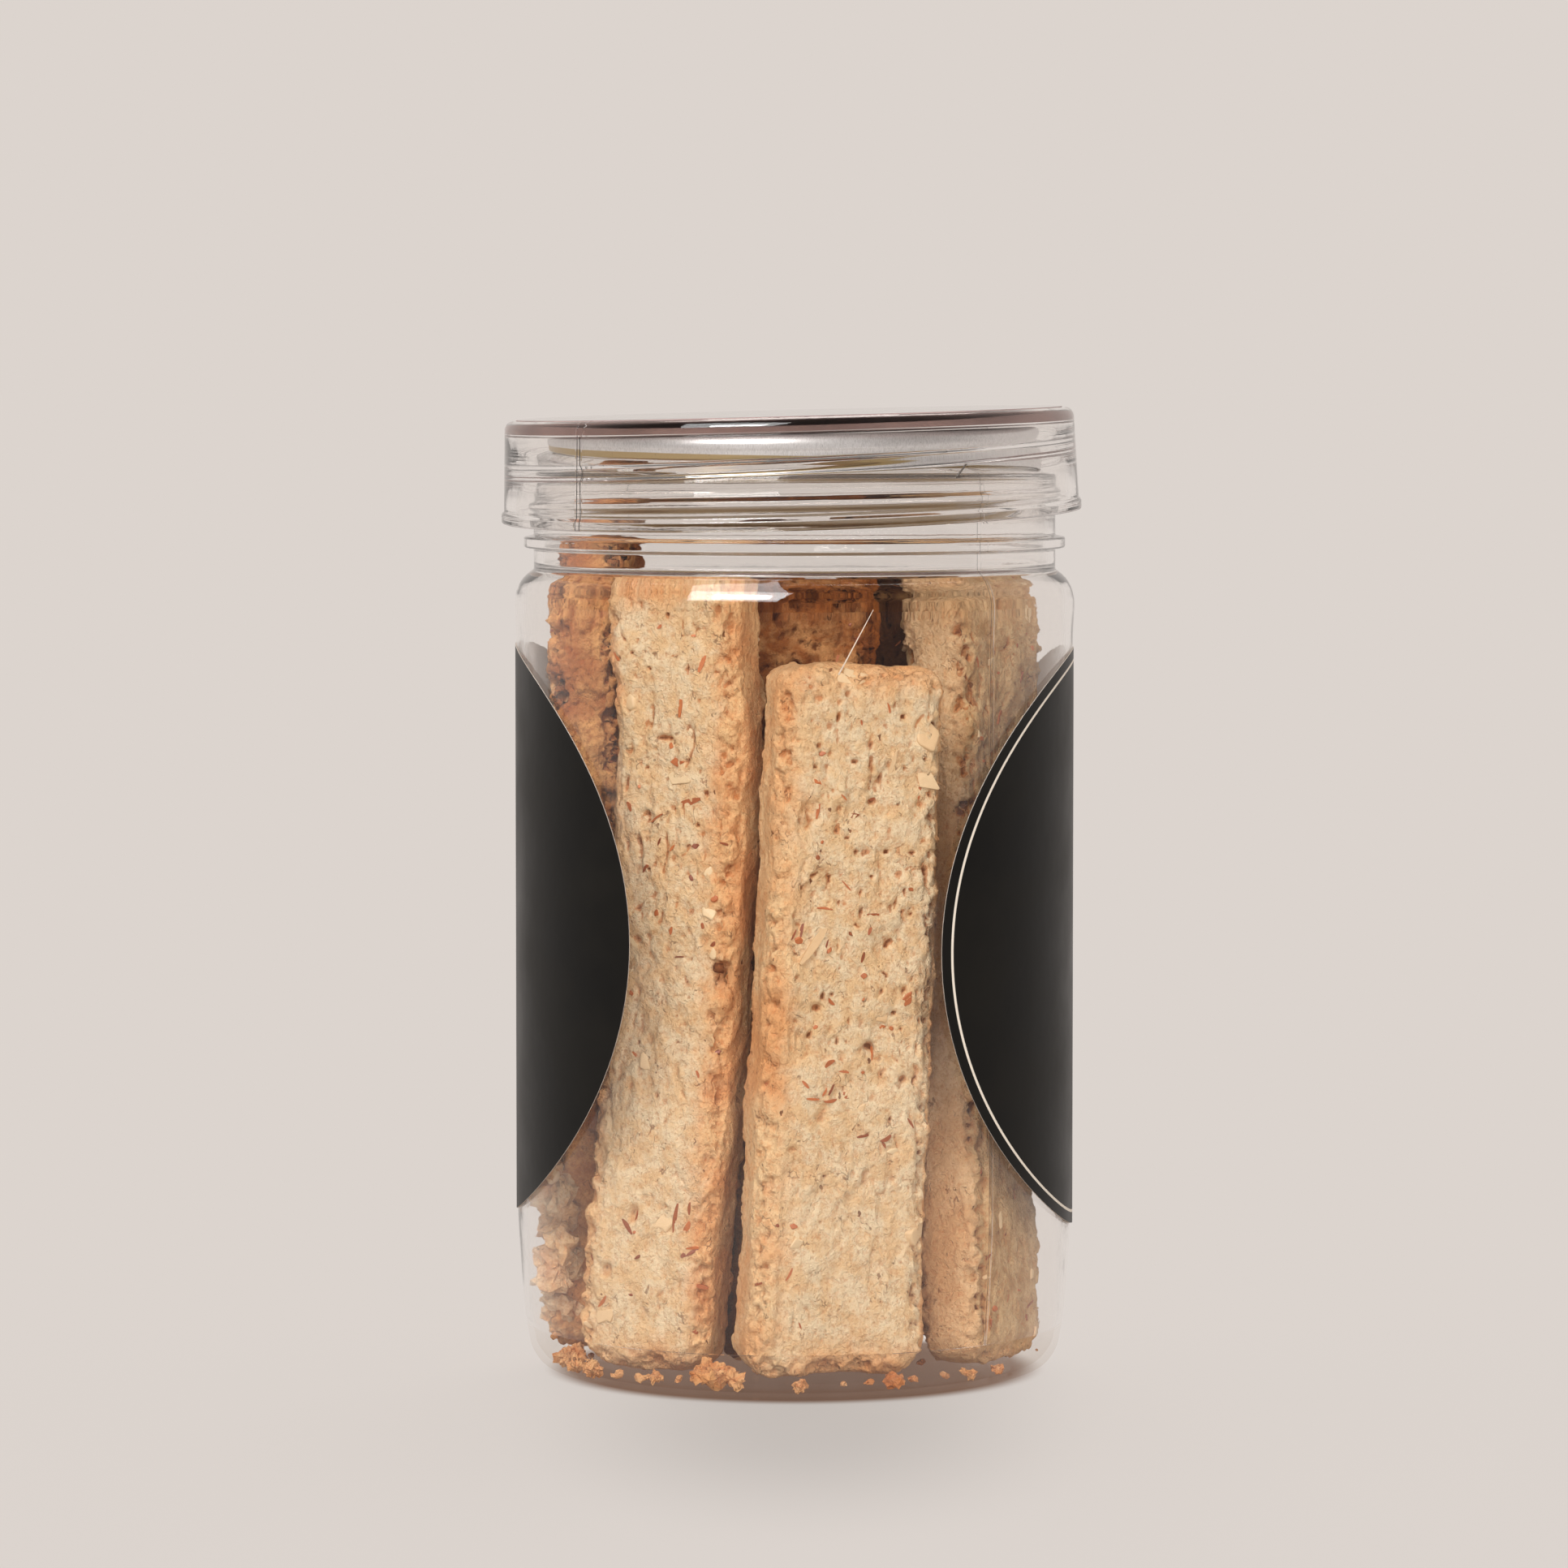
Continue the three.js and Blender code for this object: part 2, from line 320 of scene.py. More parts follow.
def climb(piece: Piece, rows: Sequence[Row]) -> None:
    """Lets the thread rows of a turned piece climb round it, and raises their ridge.

    Args:
        piece: The turned piece.
        rows: The rows of its profile that follow a thread.
    """
    if not rows:
        return
    place = Bench.places(piece)
    radius = np.hypot(place[:, 0], place[:, 1])
    turn = np.arctan2(place[:, 0], -place[:, 1]) / (2 * math.pi)
    turn[turn > 0.4999] -= 1
    new = place.copy()
    for row in rows:
        thread = row.thread
        here = (abs(place[:, 2] - row.z * MM) < 2e-6) & (abs(radius - row.r * MM) < 2e-6)
        fade = np.clip((0.5 - abs(turn[here])) / 0.08, 0, 1)
        reach = (row.r + thread.height * row.rise * fade) * MM
        new[here, 0] = place[here, 0] / radius[here] * reach
        new[here, 1] = place[here, 1] / radius[here] * reach
        new[here, 2] = (row.z + thread.pitch * turn[here]) * MM
    Bench.move(piece, new)


class Nodes:
    """A material's node tree with short calls for adding and joining nodes."""

    def __init__(self, name: str) -> None:
        """Makes an empty material of that name."""
        self.material = bpy.data.materials.new(name)
        self.material.use_nodes = True
        self.tree = self.material.node_tree
        self.tree.nodes.clear()
        self.out = self.tree.nodes.new("ShaderNodeOutputMaterial")

    def add(self, kind: str, **settings: object) -> bpy.types.Node:
        """Adds a node and sets its own settings.

        Args:
            kind: Blender's name of the node, without its ShaderNode start.
            **settings: Settings of the node.

        Returns:
            The node.
        """
        node = self.tree.nodes.new("ShaderNode" + kind)
        for key, value in settings.items():
            setattr(node, key, value)
        return node

    def join(self, source: Socket, target: Socket) -> None:
        """Links an output to an input."""
        self.tree.links.new(source, target)

    def feed(self, node: bpy.types.Node, values: dict[str | int, object]) -> None:
        """Fills a node's inputs with links or plain values.

        Args:
            node: The node to fill.
            values: Input names or numbers, each with a socket or a value.
        """
        for key, value in values.items():
            if isinstance(value, Socket):
                self.join(value, node.inputs[key])
            else:
                node.inputs[key].default_value = value

    def math(self, operation: str, *values: object) -> Socket:
        """Adds a math node and gives its result."""
        node = self.add("Math", operation=operation)
        self.feed(node, dict(enumerate(values)))
        return node.outputs[0]

    def vector(self, operation: str, *values: object) -> Socket:
        """Adds a vector math node and gives its result, a number for lengths and dot products."""
        node = self.add("VectorMath", operation=operation)
        self.feed(node, dict(enumerate(values)))
        return node.outputs["Value" if operation in ("LENGTH", "DOT_PRODUCT") else "Vector"]

    def parts(self, where: Socket) -> list[Socket]:
        """Splits a place into its X, Y and Z."""
        node = self.add("SeparateXYZ")
        self.join(where, node.inputs[0])
        return list(node.outputs)

    def noise(self, where: Socket, scale: float, detail: float = 3, rough: float = 0.5,
              warp: float = 0.0) -> Socket:
        """Adds a noise texture.

        Args:
            where: The place that it is read at.
            scale: How many times it swings in a metre.
            detail: Octaves of finer noise in it.
            rough: Strength of the finer octaves.
            warp: How far it is bent by itself.

        Returns:
            Its value, round 0.5.
        """
        node = self.add("TexNoise")
        self.feed(node, {"Vector": where, "Scale": scale, "Detail": detail, "Roughness": rough,
                         "Distortion": warp})
        return node.outputs[0]

    def cells(self, where: Socket, scale: float) -> bpy.types.Node:
        """Adds a cell texture and gives the node."""
        node = self.add("TexVoronoi")
        self.feed(node, {"Vector": where, "Scale": scale})
        return node

    def blend(self, share: object, first: object, second: object) -> Socket:
        """Mixes two colours.

        Args:
            share: The second colour's share.
            first: A socket or a plain colour.
            second: A socket or a plain colour.

        Returns:
            The mixed colour.
        """
        node = self.add("Mix", data_type="RGBA")
        first, second = (tone if isinstance(tone, Socket) else (*tone, 1)
                         for tone in (first, second))
        self.feed(node, {0: share, 6: first, 7: second})
        return node.outputs[2]

    def steps(self, value: Socket, low: float, high: float, to_low: float = 0.0,
              to_high: float = 1.0) -> Socket:
        """Maps a value smoothly from one range to another.

        Args:
            value: The value.
            low: Where the change starts.
            high: Where the change ends, above or below its start.
            to_low: What is given up to the start.
            to_high: What is given past the end.

        Returns:
            The mapped value.
        """
        node = self.add("MapRange", interpolation_type="SMOOTHSTEP")
        self.feed(node, {0: value, 1: low, 2: high, 3: to_low, 4: to_high})
        return node.outputs[0]

    def bump(self, height: Socket, strength: float, distance: float, under: Socket | None = None) -> Socket:
        """Adds a bump node.

        Args:
            height: The height that it follows.
            strength: Its strength, 0 to 1.
            distance: What a height of 1 stands for, in metres.
            under: The normal that it is laid over, if any.

        Returns:
            The bumped normal.
        """
        node = self.add("Bump")
        self.feed(node, {"Height": height, "Strength": strength, "Distance": distance})
        if under:
            self.join(under, node.inputs["Normal"])
        return node.outputs[0]

    def place(self, name: str = "") -> Socket:
        """Gives the piece's own coordinates, or one of its attributes as a vector."""
        if name:
            return self.add("Attribute", attribute_name=name).outputs["Vector"]
        return self.add("TexCoord").outputs["Object"]

    def level(self, name: str) -> Socket:
        """Gives one of the piece's attributes as a number."""
        return self.add("Attribute", attribute_name=name).outputs["Fac"]

    def finished(self, shader: bpy.types.Node) -> bpy.types.Material:
        """Puts a shader on the material's surface and gives the material."""
        self.join(shader.outputs[0], self.out.inputs[0])
        return self.material


@dataclass(frozen=True)
class ClearPlastic:
    """Clear, slightly wavy plastic that lets the lamps through to what it holds."""

    name: str
    tint: Colour = (0.985, 0.972, 0.962)
    passed: Colour = (0.94, 0.93, 0.92)
    roughness: float = 0.02
    ior: float = 1.46
    wave: float = 0.05
    seam_turn: float = 44.0
    seam_half: float = 0.12
    seam_lift: float = 0.06

    def make(self) -> bpy.types.Material:
        """Builds the material.

        Returns:
            The finished material.
        """
        kit = Nodes(self.name)
        where = kit.place()
        slow = kit.noise(where, 55, 2, 0.4)
        fine = kit.noise(where, 420, 2, 0.5)
        normal = kit.bump(slow, self.wave, 4 * MM)
        normal = kit.bump(fine, self.wave * 0.5, 0.3 * MM, normal)
        normal = kit.bump(self.seam(kit, where), 0.6, self.seam_lift * MM, normal)
        shell = kit.add("BsdfPrincipled")
        kit.feed(shell, {"Base Color": (*self.tint, 1), "Roughness": self.roughness, "IOR": self.ior,
                         "Transmission Weight": 1.0, "Normal": normal})
        passing = kit.add("BsdfTransparent")
        kit.feed(passing, {0: (*self.passed, 1)})
        path = kit.add("LightPath")
        lamps = kit.math("MAXIMUM", path.outputs["Is Shadow Ray"], path.outputs["Is Diffuse Ray"])
        mix = kit.add("MixShader")
        kit.feed(mix, {0: lamps, 1: shell.outputs[0], 2: passing.outputs[0]})
        return kit.finished(mix)

    def seam(self, kit: Nodes, where: Socket) -> Socket:
        """Gives the height of the thin mould line that runs up the wall on each side.

        Args:
            kit: The material's nodes.
            where: The piece's own coordinates.

        Returns:
            The height of the line.
        """
        turn = math.radians(self.seam_turn)
        off = kit.vector("DOT_PRODUCT", where, (math.cos(turn), math.sin(turn), 0))
        half = self.seam_half * MM
        return kit.steps(kit.math("ABSOLUTE", off), half, half * 0.3)


@dataclass(frozen=True)
class SoftPlastic:
    """Thin clear plastic of the moulded heel, slightly dulled by handling, with painted shade that darkens it
    towards the foot.
    """

    name: str
    tint: Colour = (0.955, 0.938, 0.922)
    clear: Colour = (0.99, 0.983, 0.976)
    foot: float = 1.0
    top: float = 6.5
    shine: float = 0.04

    def make(self) -> bpy.types.Material:
        """Builds the material.

        Returns:
            The finished material.
        """
        kit = Nodes(self.name)
        where = kit.place()
        cloud = kit.noise(where, 120, 3, 0.6)
        # Painted shade: the see-through colour darkens towards the foot, next to the floor.
        height = kit.steps(kit.parts(where)[2], self.foot * MM, self.top * MM)
        share = kit.math("MULTIPLY_ADD", cloud, 0.1, height)
        clear = kit.add("BsdfTransparent")
        kit.feed(clear, {"Color": kit.blend(share, self.tint, self.clear)})
        gloss = kit.add("BsdfGlossy")
        kit.feed(gloss, {"Color": (0.92, 0.92, 0.92, 1), "Roughness": 0.08})
        shine = kit.steps(cloud, 0.3, 0.7, self.shine, 1.6 * self.shine)
        mix = kit.add("MixShader")
        kit.feed(mix, {0: shine, 1: clear.outputs[0], 2: gloss.outputs[0]})
        return kit.finished(mix)


@dataclass(frozen=True)
class BrushedMetal:
    """Bright brushed metal, with gold lacquer below a height."""

    name: str
    bright: Colour = srgb(240, 238, 238)
    dull: Colour = srgb(212, 209, 208)
    stain: Colour = srgb(120, 113, 107)
    lacquer: Colour = srgb(178, 154, 110)
    lacquer_top: float = 139.85
    slant: float = 0.02

    def make(self) -> bpy.types.Material:
        """Builds the material.

        Returns:
            The finished material.
        """
        kit = Nodes(self.name)
        where = kit.place()
        squeeze = kit.add("Mapping")
        kit.feed(squeeze, {"Vector": where, "Scale": (1, 1, 0.3), "Rotation": (0, 0.5, 0)})
        lines = kit.noise(squeeze.outputs[0], 5200, 3, 0.7)
        broad = kit.noise(where, 90, 2, 0.5)
        x, _y, z = kit.parts(where)
        level = kit.math("MULTIPLY_ADD", x, self.slant, z)
        under = kit.steps(level, (self.lacquer_top + 0.1) * MM, (self.lacquer_top - 0.1) * MM)
        tone = kit.blend(kit.steps(lines, 0.35, 0.7), self.bright, self.dull)
        tone = kit.blend(kit.math("MULTIPLY", broad, 0.25), tone, self.stain)
        metal = kit.add("BsdfPrincipled")
        kit.feed(metal, {"Base Color": kit.blend(under, tone, self.lacquer), "Metallic": 0.62,
                         "Roughness": kit.steps(lines, 0.2, 0.8, 0.26, 0.38),
                         "Normal": kit.bump(lines, 0.15, 0.03 * MM)})
        return kit.finished(metal)


class LabelFace(Enum):
    """The three surfaces of a paper label."""

    FRONT = 0
    CUT_EDGE = 1
    BACK = 2


@dataclass(frozen=True)
class LabelPaper:
    """Coated label paper: a black satin print, a pale cut edge and a plain back."""

    name: str
    face: LabelFace
    ring_radius: float = 0.0
    ring_width: float = 0.42
    ring_blur: float = 0.03
    gloss: float = 0.0
    black: Colour = srgb(17, 16, 15)
    worn: Colour = srgb(24, 22, 19)
    cream: Colour = srgb(226, 214, 198)
    cut: Colour = srgb(196, 188, 178)
    cut_shade: Colour = srgb(166, 156, 146)
    back: Colour = srgb(176, 158, 138)

    def make(self) -> bpy.types.Material:
        """Builds the material of one surface of the label.

        Returns:
            The finished material.
        """
        kit = Nodes(f"{self.name}_{self.face.name.lower()}")
        where = kit.place()
        grain = kit.noise(where, 900, 3, 0.6)
        slow = kit.noise(where, 70, 3, 0.5)
        paper = kit.add("BsdfPrincipled")
        if self.face is LabelFace.FRONT:
            tone = kit.blend(kit.steps(slow, 0.3, 0.7), self.black, self.worn)
            if self.ring_radius:
                reach = kit.vector("LENGTH", kit.place("disc"))
                off = kit.math("ABSOLUTE", kit.math("SUBTRACT", reach, self.ring_radius * MM))
                half = self.ring_width / 2
                line = kit.steps(off, (half + self.ring_blur) * MM, (half - self.ring_blur) * MM)
                tone = kit.blend(line, tone, self.cream)
            kit.feed(paper, {"Base Color": tone, "Roughness": kit.steps(slow, 0.2, 0.8, 0.34, 0.46),
                             "Specular IOR Level": 0.12, "Coat Weight": self.gloss, "Coat IOR": 1.22,
                             "Normal": kit.bump(grain, 0.06, 0.1 * MM, kit.bump(slow, 0.12, 1.2 * MM))})
        elif self.face is LabelFace.CUT_EDGE:
            kit.feed(paper, {"Base Color": kit.blend(grain, self.cut, self.cut_shade), "Roughness": 0.8})
        else:
            shade = tuple(0.72 * value for value in self.back)
            kit.feed(paper, {"Base Color": kit.blend(kit.steps(slow, 0.3, 0.7), self.back, shade),
                             "Roughness": 0.7})
        return kit.finished(paper)


@dataclass(frozen=True)
class BakedDough:
    """Biscotti dough: a pale, flaky crumb and a toasted, finely grained crust, with painted shade in its
    dips, hollows, pits and creases.
    """

    name: str
    toast: float = 0.0
    crumb_pale: Colour = srgb(238, 214, 176)
    crumb_warm: Colour = srgb(232, 194, 146)
    crust_pale: Colour = srgb(243, 206, 156)
    crust_brown: Colour = srgb(232, 169, 112)
    # Colour of the painted shade in dips and shallow hollows.
    dip_shade: Colour = srgb(186, 106, 46)
    # Colour of the darkest painted shade: deep hollows, pits and creases.
    pit: Colour = srgb(112, 56, 22)
    far_side: Colour | None = None
    far_start: float = 19.0
    far_end: float = 27.0
    soft_below: float = 25.0
    firm_above: float = 80.0

    def make(self) -> bpy.types.Material:
        """Builds the material.

        Returns:
            The finished material.
        """
        kit = Nodes(self.name)
        where = kit.place()
        _x, y, z = kit.parts(where)
        slow = kit.noise(where, 80, 3, 0.55)
        patch = kit.noise(where, 330, 4, 0.62)
        mottle = kit.noise(where, 950, 3, 0.7)
        grain = kit.noise(where, 1700, 4, 0.8)
        shred = self.shreds(kit, where)
        crumb = kit.blend(kit.steps(patch, 0.36, 0.64), self.crumb_warm, self.crumb_pale)
        crust = kit.blend(kit.steps(slow, 0.34, 0.66), self.crust_pale, self.crust_brown)
        crust = kit.blend(kit.steps(patch, 0.5, 0.68, 0, 0.6), crust, self.crust_brown)
        crust = kit.blend(kit.steps(mottle, 0.5, 0.62, 0, 0.5), crust, self.crust_brown)
        baked = self.baked(kit, where)
        tone = kit.blend(kit.steps(baked, 0.05, 1.05), crumb, crust)
        # Painted shade: the low parts of the fine grain and the shreds, whose heights also make the bumps,
        # darken towards the dip colour.
        tone = kit.blend(kit.steps(grain, 0.5, 0.34, 0, 0.4), tone, self.dip_shade)
        tone = kit.blend(kit.steps(shred, 0.3, 0.0, 0, 0.24), tone, self.dip_shade)
        # The side turned to the back keeps a lighter baked colour; the darkness of the rest of such a dough
        # is painted shade.
        if self.far_side:
            turned = kit.math("ADD", kit.steps(y, self.far_start * MM, self.far_end * MM), baked)
            tone = kit.blend(kit.steps(turned, 0.3, 1.5, 0.0, 0.8), tone, self.far_side)
        # Painted shade: corners sunk below the softened surface darken towards the dip colour, less towards
        # the bottom, and the deepest towards the pit colour.
        uneven = kit.math("MULTIPLY", kit.math("SUBTRACT", patch, 0.5), 0.3)
        hollow = kit.math("ADD", kit.level("hollow"), uneven)
        firm = kit.steps(z, self.soft_below * MM, self.firm_above * MM, 0.35, 0.65)
        tone = kit.blend(kit.math("MULTIPLY", kit.steps(hollow, 0.15, 1.0), firm), tone, self.dip_shade)
        tone = kit.blend(kit.steps(hollow, 1.0, 1.9, 0, 0.85), tone, self.pit)
        # Painted shade in small pits and thin creases, as dark dots and lines.
        speck_shade = kit.math("MAXIMUM", self.speck_shade(kit, where), self.crease_shade(kit, where))
        tone = kit.blend(speck_shade, tone, self.pit)
        smooth = kit.math("SUBTRACT", 1.0, speck_shade)
        normal = None
        for height, strength, depth in ((patch, 0.3, 0.4), (shred, 0.6, 0.36), (mottle, 0.6, 0.26),
                                        (grain, 0.75, 0.22), (smooth, 0.5, 0.2)):
            normal = kit.bump(height, strength, depth * MM, normal)
        dough = kit.add("BsdfPrincipled")
        kit.feed(dough, {"Base Color": tone, "Roughness": 0.85, "Specular IOR Level": 0.2,
                         "Normal": normal})
        return kit.finished(dough)

    def baked(self, kit: Nodes, where: Socket) -> Socket:
        """Says how far the surface is baked, from the piece's crust attribute and its toast.

        Args:
            kit: The material's nodes.
            where: The piece's own coordinates.

        Returns:
            About 0 in the crumb and 1 on the crust, with a ragged border.
        """
        ragged = kit.math("MULTIPLY", kit.math("SUBTRACT", kit.noise(where, 170, 4, 0.65), 0.5), 1.5)
        return kit.math("ADD", kit.math("ADD", kit.level("crust"), ragged), self.toast)

    def crease_shade(self, kit: Nodes, where: Socket) -> Socket:
        """Gives the share of the painted shade in short thin creases, most of them upright.

        Args:
            kit: The material's nodes.
            where: The piece's own coordinates.

        Returns:
            Up to 0.6 in a crease, 0 off it.
        """
        upright = kit.vector("MULTIPLY", where, (1.0, 1.0, 0.65))
        bend = kit.noise(upright, 420, 2.5, 0.6, 0.5)
        near = kit.steps(kit.math("ABSOLUTE", kit.math("SUBTRACT", bend, 0.5)), 0.016, 0.004)
        gate = kit.steps(kit.noise(where, 430, 2, 0.5), 0.58, 0.64, 0, 0.6)
        return kit.math("MULTIPLY", near, gate)

    def shreds(self, kit: Nodes, where: Socket) -> Socket:
        """Breaks the surface up into small upright shreds with crisp edges.

        Args:
            kit: The material's nodes.
            where: The piece's own coordinates.

        Returns:
            The height of the shreds.
        """
        upright = kit.vector("MULTIPLY", where, (1.0, 1.0, 0.85))
        flat = kit.steps(kit.noise(upright, 760, 3, 0.6, 0.5), 0.44, 0.5, 0, 0.6)
        fine = kit.steps(kit.noise(upright, 1500, 3, 0.65, 0.4), 0.4, 0.6, 0, 0.4)
        return kit.math("ADD", flat, fine)

    def speck_shade(self, kit: Nodes, where: Socket) -> Socket:
        """Gives the share of the painted shade in small pits, as dark dots.

        Args:
            kit: The material's nodes.
            where: The piece's own coordinates.

        Returns:
            From 0.25 to 0.85 in a pit, 0 off it.
        """
        drift = kit.add("TexNoise")
        kit.feed(drift, {"Vector": where, "Scale": 1500, "Detail": 1})
        ragged = kit.vector("MULTIPLY_ADD", drift.outputs["Color"], (0.9 * MM,) * 3, where)
        cells = kit.cells(kit.vector("MULTIPLY", ragged, (1.0, 1.0, 0.55)), 700)
        dice = kit.add("SeparateColor")
        kit.join(cells.outputs["Color"], dice.inputs[0])
        size = kit.steps(dice.outputs[0], 0.8, 1.0, 0.02, 0.2)
        dot = kit.math("LESS_THAN", cells.outputs["Distance"], size)
        return kit.math("MULTIPLY", dot, kit.steps(dice.outputs[1], 0.1, 0.7, 0.25, 0.85))


@dataclass(frozen=True)
class NutMeat:
    """Cut almond, from pale cream to toasted, by each bit's own tone."""

    name: str
    pale: Colour = srgb(233, 206, 164)
    deep: Colour = srgb(226, 188, 142)
    roughness: float = 0.55

    def make(self) -> bpy.types.Material:
        """Builds the material.

        Returns:
            The finished material.
        """
        kit = Nodes(self.name)
        where = kit.place()
        grain = kit.noise(where, 1100, 3, 0.6)
        tone = kit.blend(kit.level("tone"), self.pale, self.deep)
        tone = kit.blend(kit.steps(grain, 0.45, 0.75, 0, 0.3), tone, self.deep)
        meat = kit.add("BsdfPrincipled")
        kit.feed(meat, {"Base Color": tone, "Roughness": self.roughness,
                        "Normal": kit.bump(grain, 0.5, 0.25 * MM)})
        return kit.finished(meat)


@dataclass(frozen=True)
class Sweep:
    """Plain pale studio floor, partly self-lit so that it stays even to the horizon.

    Attributes:
        name: Name of the material.
        tone: Colour of its glow.
        share: Its own paleness, which the lamps light.
        glow: Strength of its glow.
        foot: Radii, in metres, between which the shade right under the jar ends.
        under: Colour of the glow under the jar.
        front: Y where the floor is dimmest, Y where it is at full glow, and its dimmest share.
        pool: X and Y of the middle, half width and half length of the pool of shade before the jar.
        depth: How much darker the pool's middle is.
    """

    name: str
    tone: Colour
    share: float = 0.10
    glow: float = 0.896
    foot: Point = (0.0335, 0.0388)
    under: Colour = srgb(136, 108, 92)
    front: tuple[float, float, float] = (-0.6, -0.22, 0.2)
    pool: tuple[float, float, float, float] = (0.0019, -0.058, 0.041, 0.097)
    depth: float = 0.19

    def make(self) -> bpy.types.Material:
        """Builds the material.

        Returns:
            The finished material.
        """
        kit = Nodes(self.name)
        where = kit.place()
        off = kit.steps(kit.vector("LENGTH", where), *self.foot)
        ground = kit.add("BsdfPrincipled")
        kit.feed(ground, {"Base Color": (self.share, self.share, self.share, 1), "Roughness": 1.0,
                          "Specular IOR Level": 0.0, "Emission Color": kit.blend(off, self.under, self.tone),
                          "Emission Strength": kit.math("MULTIPLY", self.shade(kit, where), self.glow)})
        return kit.finished(ground)

    def shade(self, kit: Nodes, where: Socket) -> Socket:
        """Dims the floor in a soft pool before the jar and more and more further to the front.

        Args:
            kit: The material's nodes.
            where: The piece's own coordinates.

        Returns:
            The share of the glow that is left.
        """
        x, y, wide, long = self.pool
        spot = kit.vector("MULTIPLY_ADD", where, (1 / wide, 1 / long, 0), (-x / wide, -y / long, 0))
        soft = kit.steps(kit.vector("LENGTH", spot), 0.1, 1.1, 1 - self.depth, 1.0)
        dimmest, full, dim = self.front
        return kit.math("MULTIPLY", soft, kit.steps(kit.parts(where)[1], dimmest, full, dim, 1.0))


@dataclass
class ClearJar:
    """The jar's body: foot, tapered heel, straight wall, shoulder, neck ring, thread and mouth.

    All sizes are in millimetres. The heel gives the radius outside which, and the height below which,
    the plastic doesn't bend light.
    """

    steps: int = 144
    body_r: float = 42.5
    wall: float = 1.4
    neck_r: float = 39.8
    neck_wall: float = 1.5
    ring_r: float = 41.3
    mouth_r: float = 37.0
    mouth_in_r: float = 35.9
    mouth_z: float = 140.3
    heel: Point = (16.0, 7.0)
    thread: Thread = field(default_factory=lambda: Thread(0.85, 1.3, 0.4, 4.5, 133.3))

    def build(self) -> Piece:
        """Turns the shell and dresses it.

        Returns:
            The clear jar.
        """
        inner = self.body_r - self.wall
        neck_in = self.neck_r - self.neck_wall
        profile = [
            Corner(0, 0.9), Corner(29.5, 0.7, 2), Corner(31.5, 0.02, 0.5), Corner(35.2, 0.02, 2),
            Corner(38.8, 1.2, 4), Corner(40.4, 3.6, 5), Corner(41.3, 8.5, 14), Corner(42.0, 17, 60),
            Corner(self.body_r, 25, 60), Corner(self.body_r, 112.6, 40), Corner(42.7, 116.4),
            Corner(42.74, 117.4), Corner(42.68, 118.3), Corner(42.5, 119.2), Corner(42.22, 120.0),
            Corner(41.84, 120.75), Corner(41.36, 121.4), Corner(40.8, 121.95),
            Corner(self.neck_r, 122.7, 0.5), Corner(self.neck_r, 125.8, 0.3), Corner(self.ring_r, 126.0, 0.4),
            Corner(self.ring_r, 127.6, 0.4), Corner(self.neck_r, 127.9, 0.3),
            *self.thread.rows(self.neck_r, True),
            Corner(self.neck_r, 137.8, 0.6), Corner(self.mouth_r, 138.9, 0.5),
            Corner(self.mouth_r, self.mouth_z, 0.3), Corner(self.mouth_in_r, self.mouth_z, 0.3),
            Corner(self.mouth_in_r, 138.5, 0.6), Corner(neck_in, 137.0, 0.8),
            Corner(neck_in, 123.3, 1.0), Corner(39.85, 122.0, 0.6), Corner(40.2, 121.3), Corner(40.42, 120.8),
            Corner(40.74, 120.05), Corner(41.05, 119.4), Corner(41.25, 118.6), Corner(41.3, 117.4, 2),
            Corner(inner, 104, 60), Corner(inner, 25, 60), Corner(40.9, 17, 60),
            Corner(40.45, 8.5, 12), Corner(39.55, 4.1, 4), Corner(37.8, 1.9, 3),
            Corner(34.5, 1.0, 2), Corner(29, 1.6, 4), Corner(0, 1.8),
        ]
        jar = turned("clear_jar", trace(profile), self.steps)
        Bench.smooth(jar, 50)
        jar.data.materials.append(ClearPlastic("jar_plastic").make())
        jar.data.materials.append(SoftPlastic("heel_plastic").make())
        reach, height = self.heel
        for face in jar.data.polygons:
            x, y, z = face.center / MM
            face.material_index = int(z < height and math.hypot(x, y) > reach)
        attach(jar, "root")
        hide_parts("jar")
        return jar


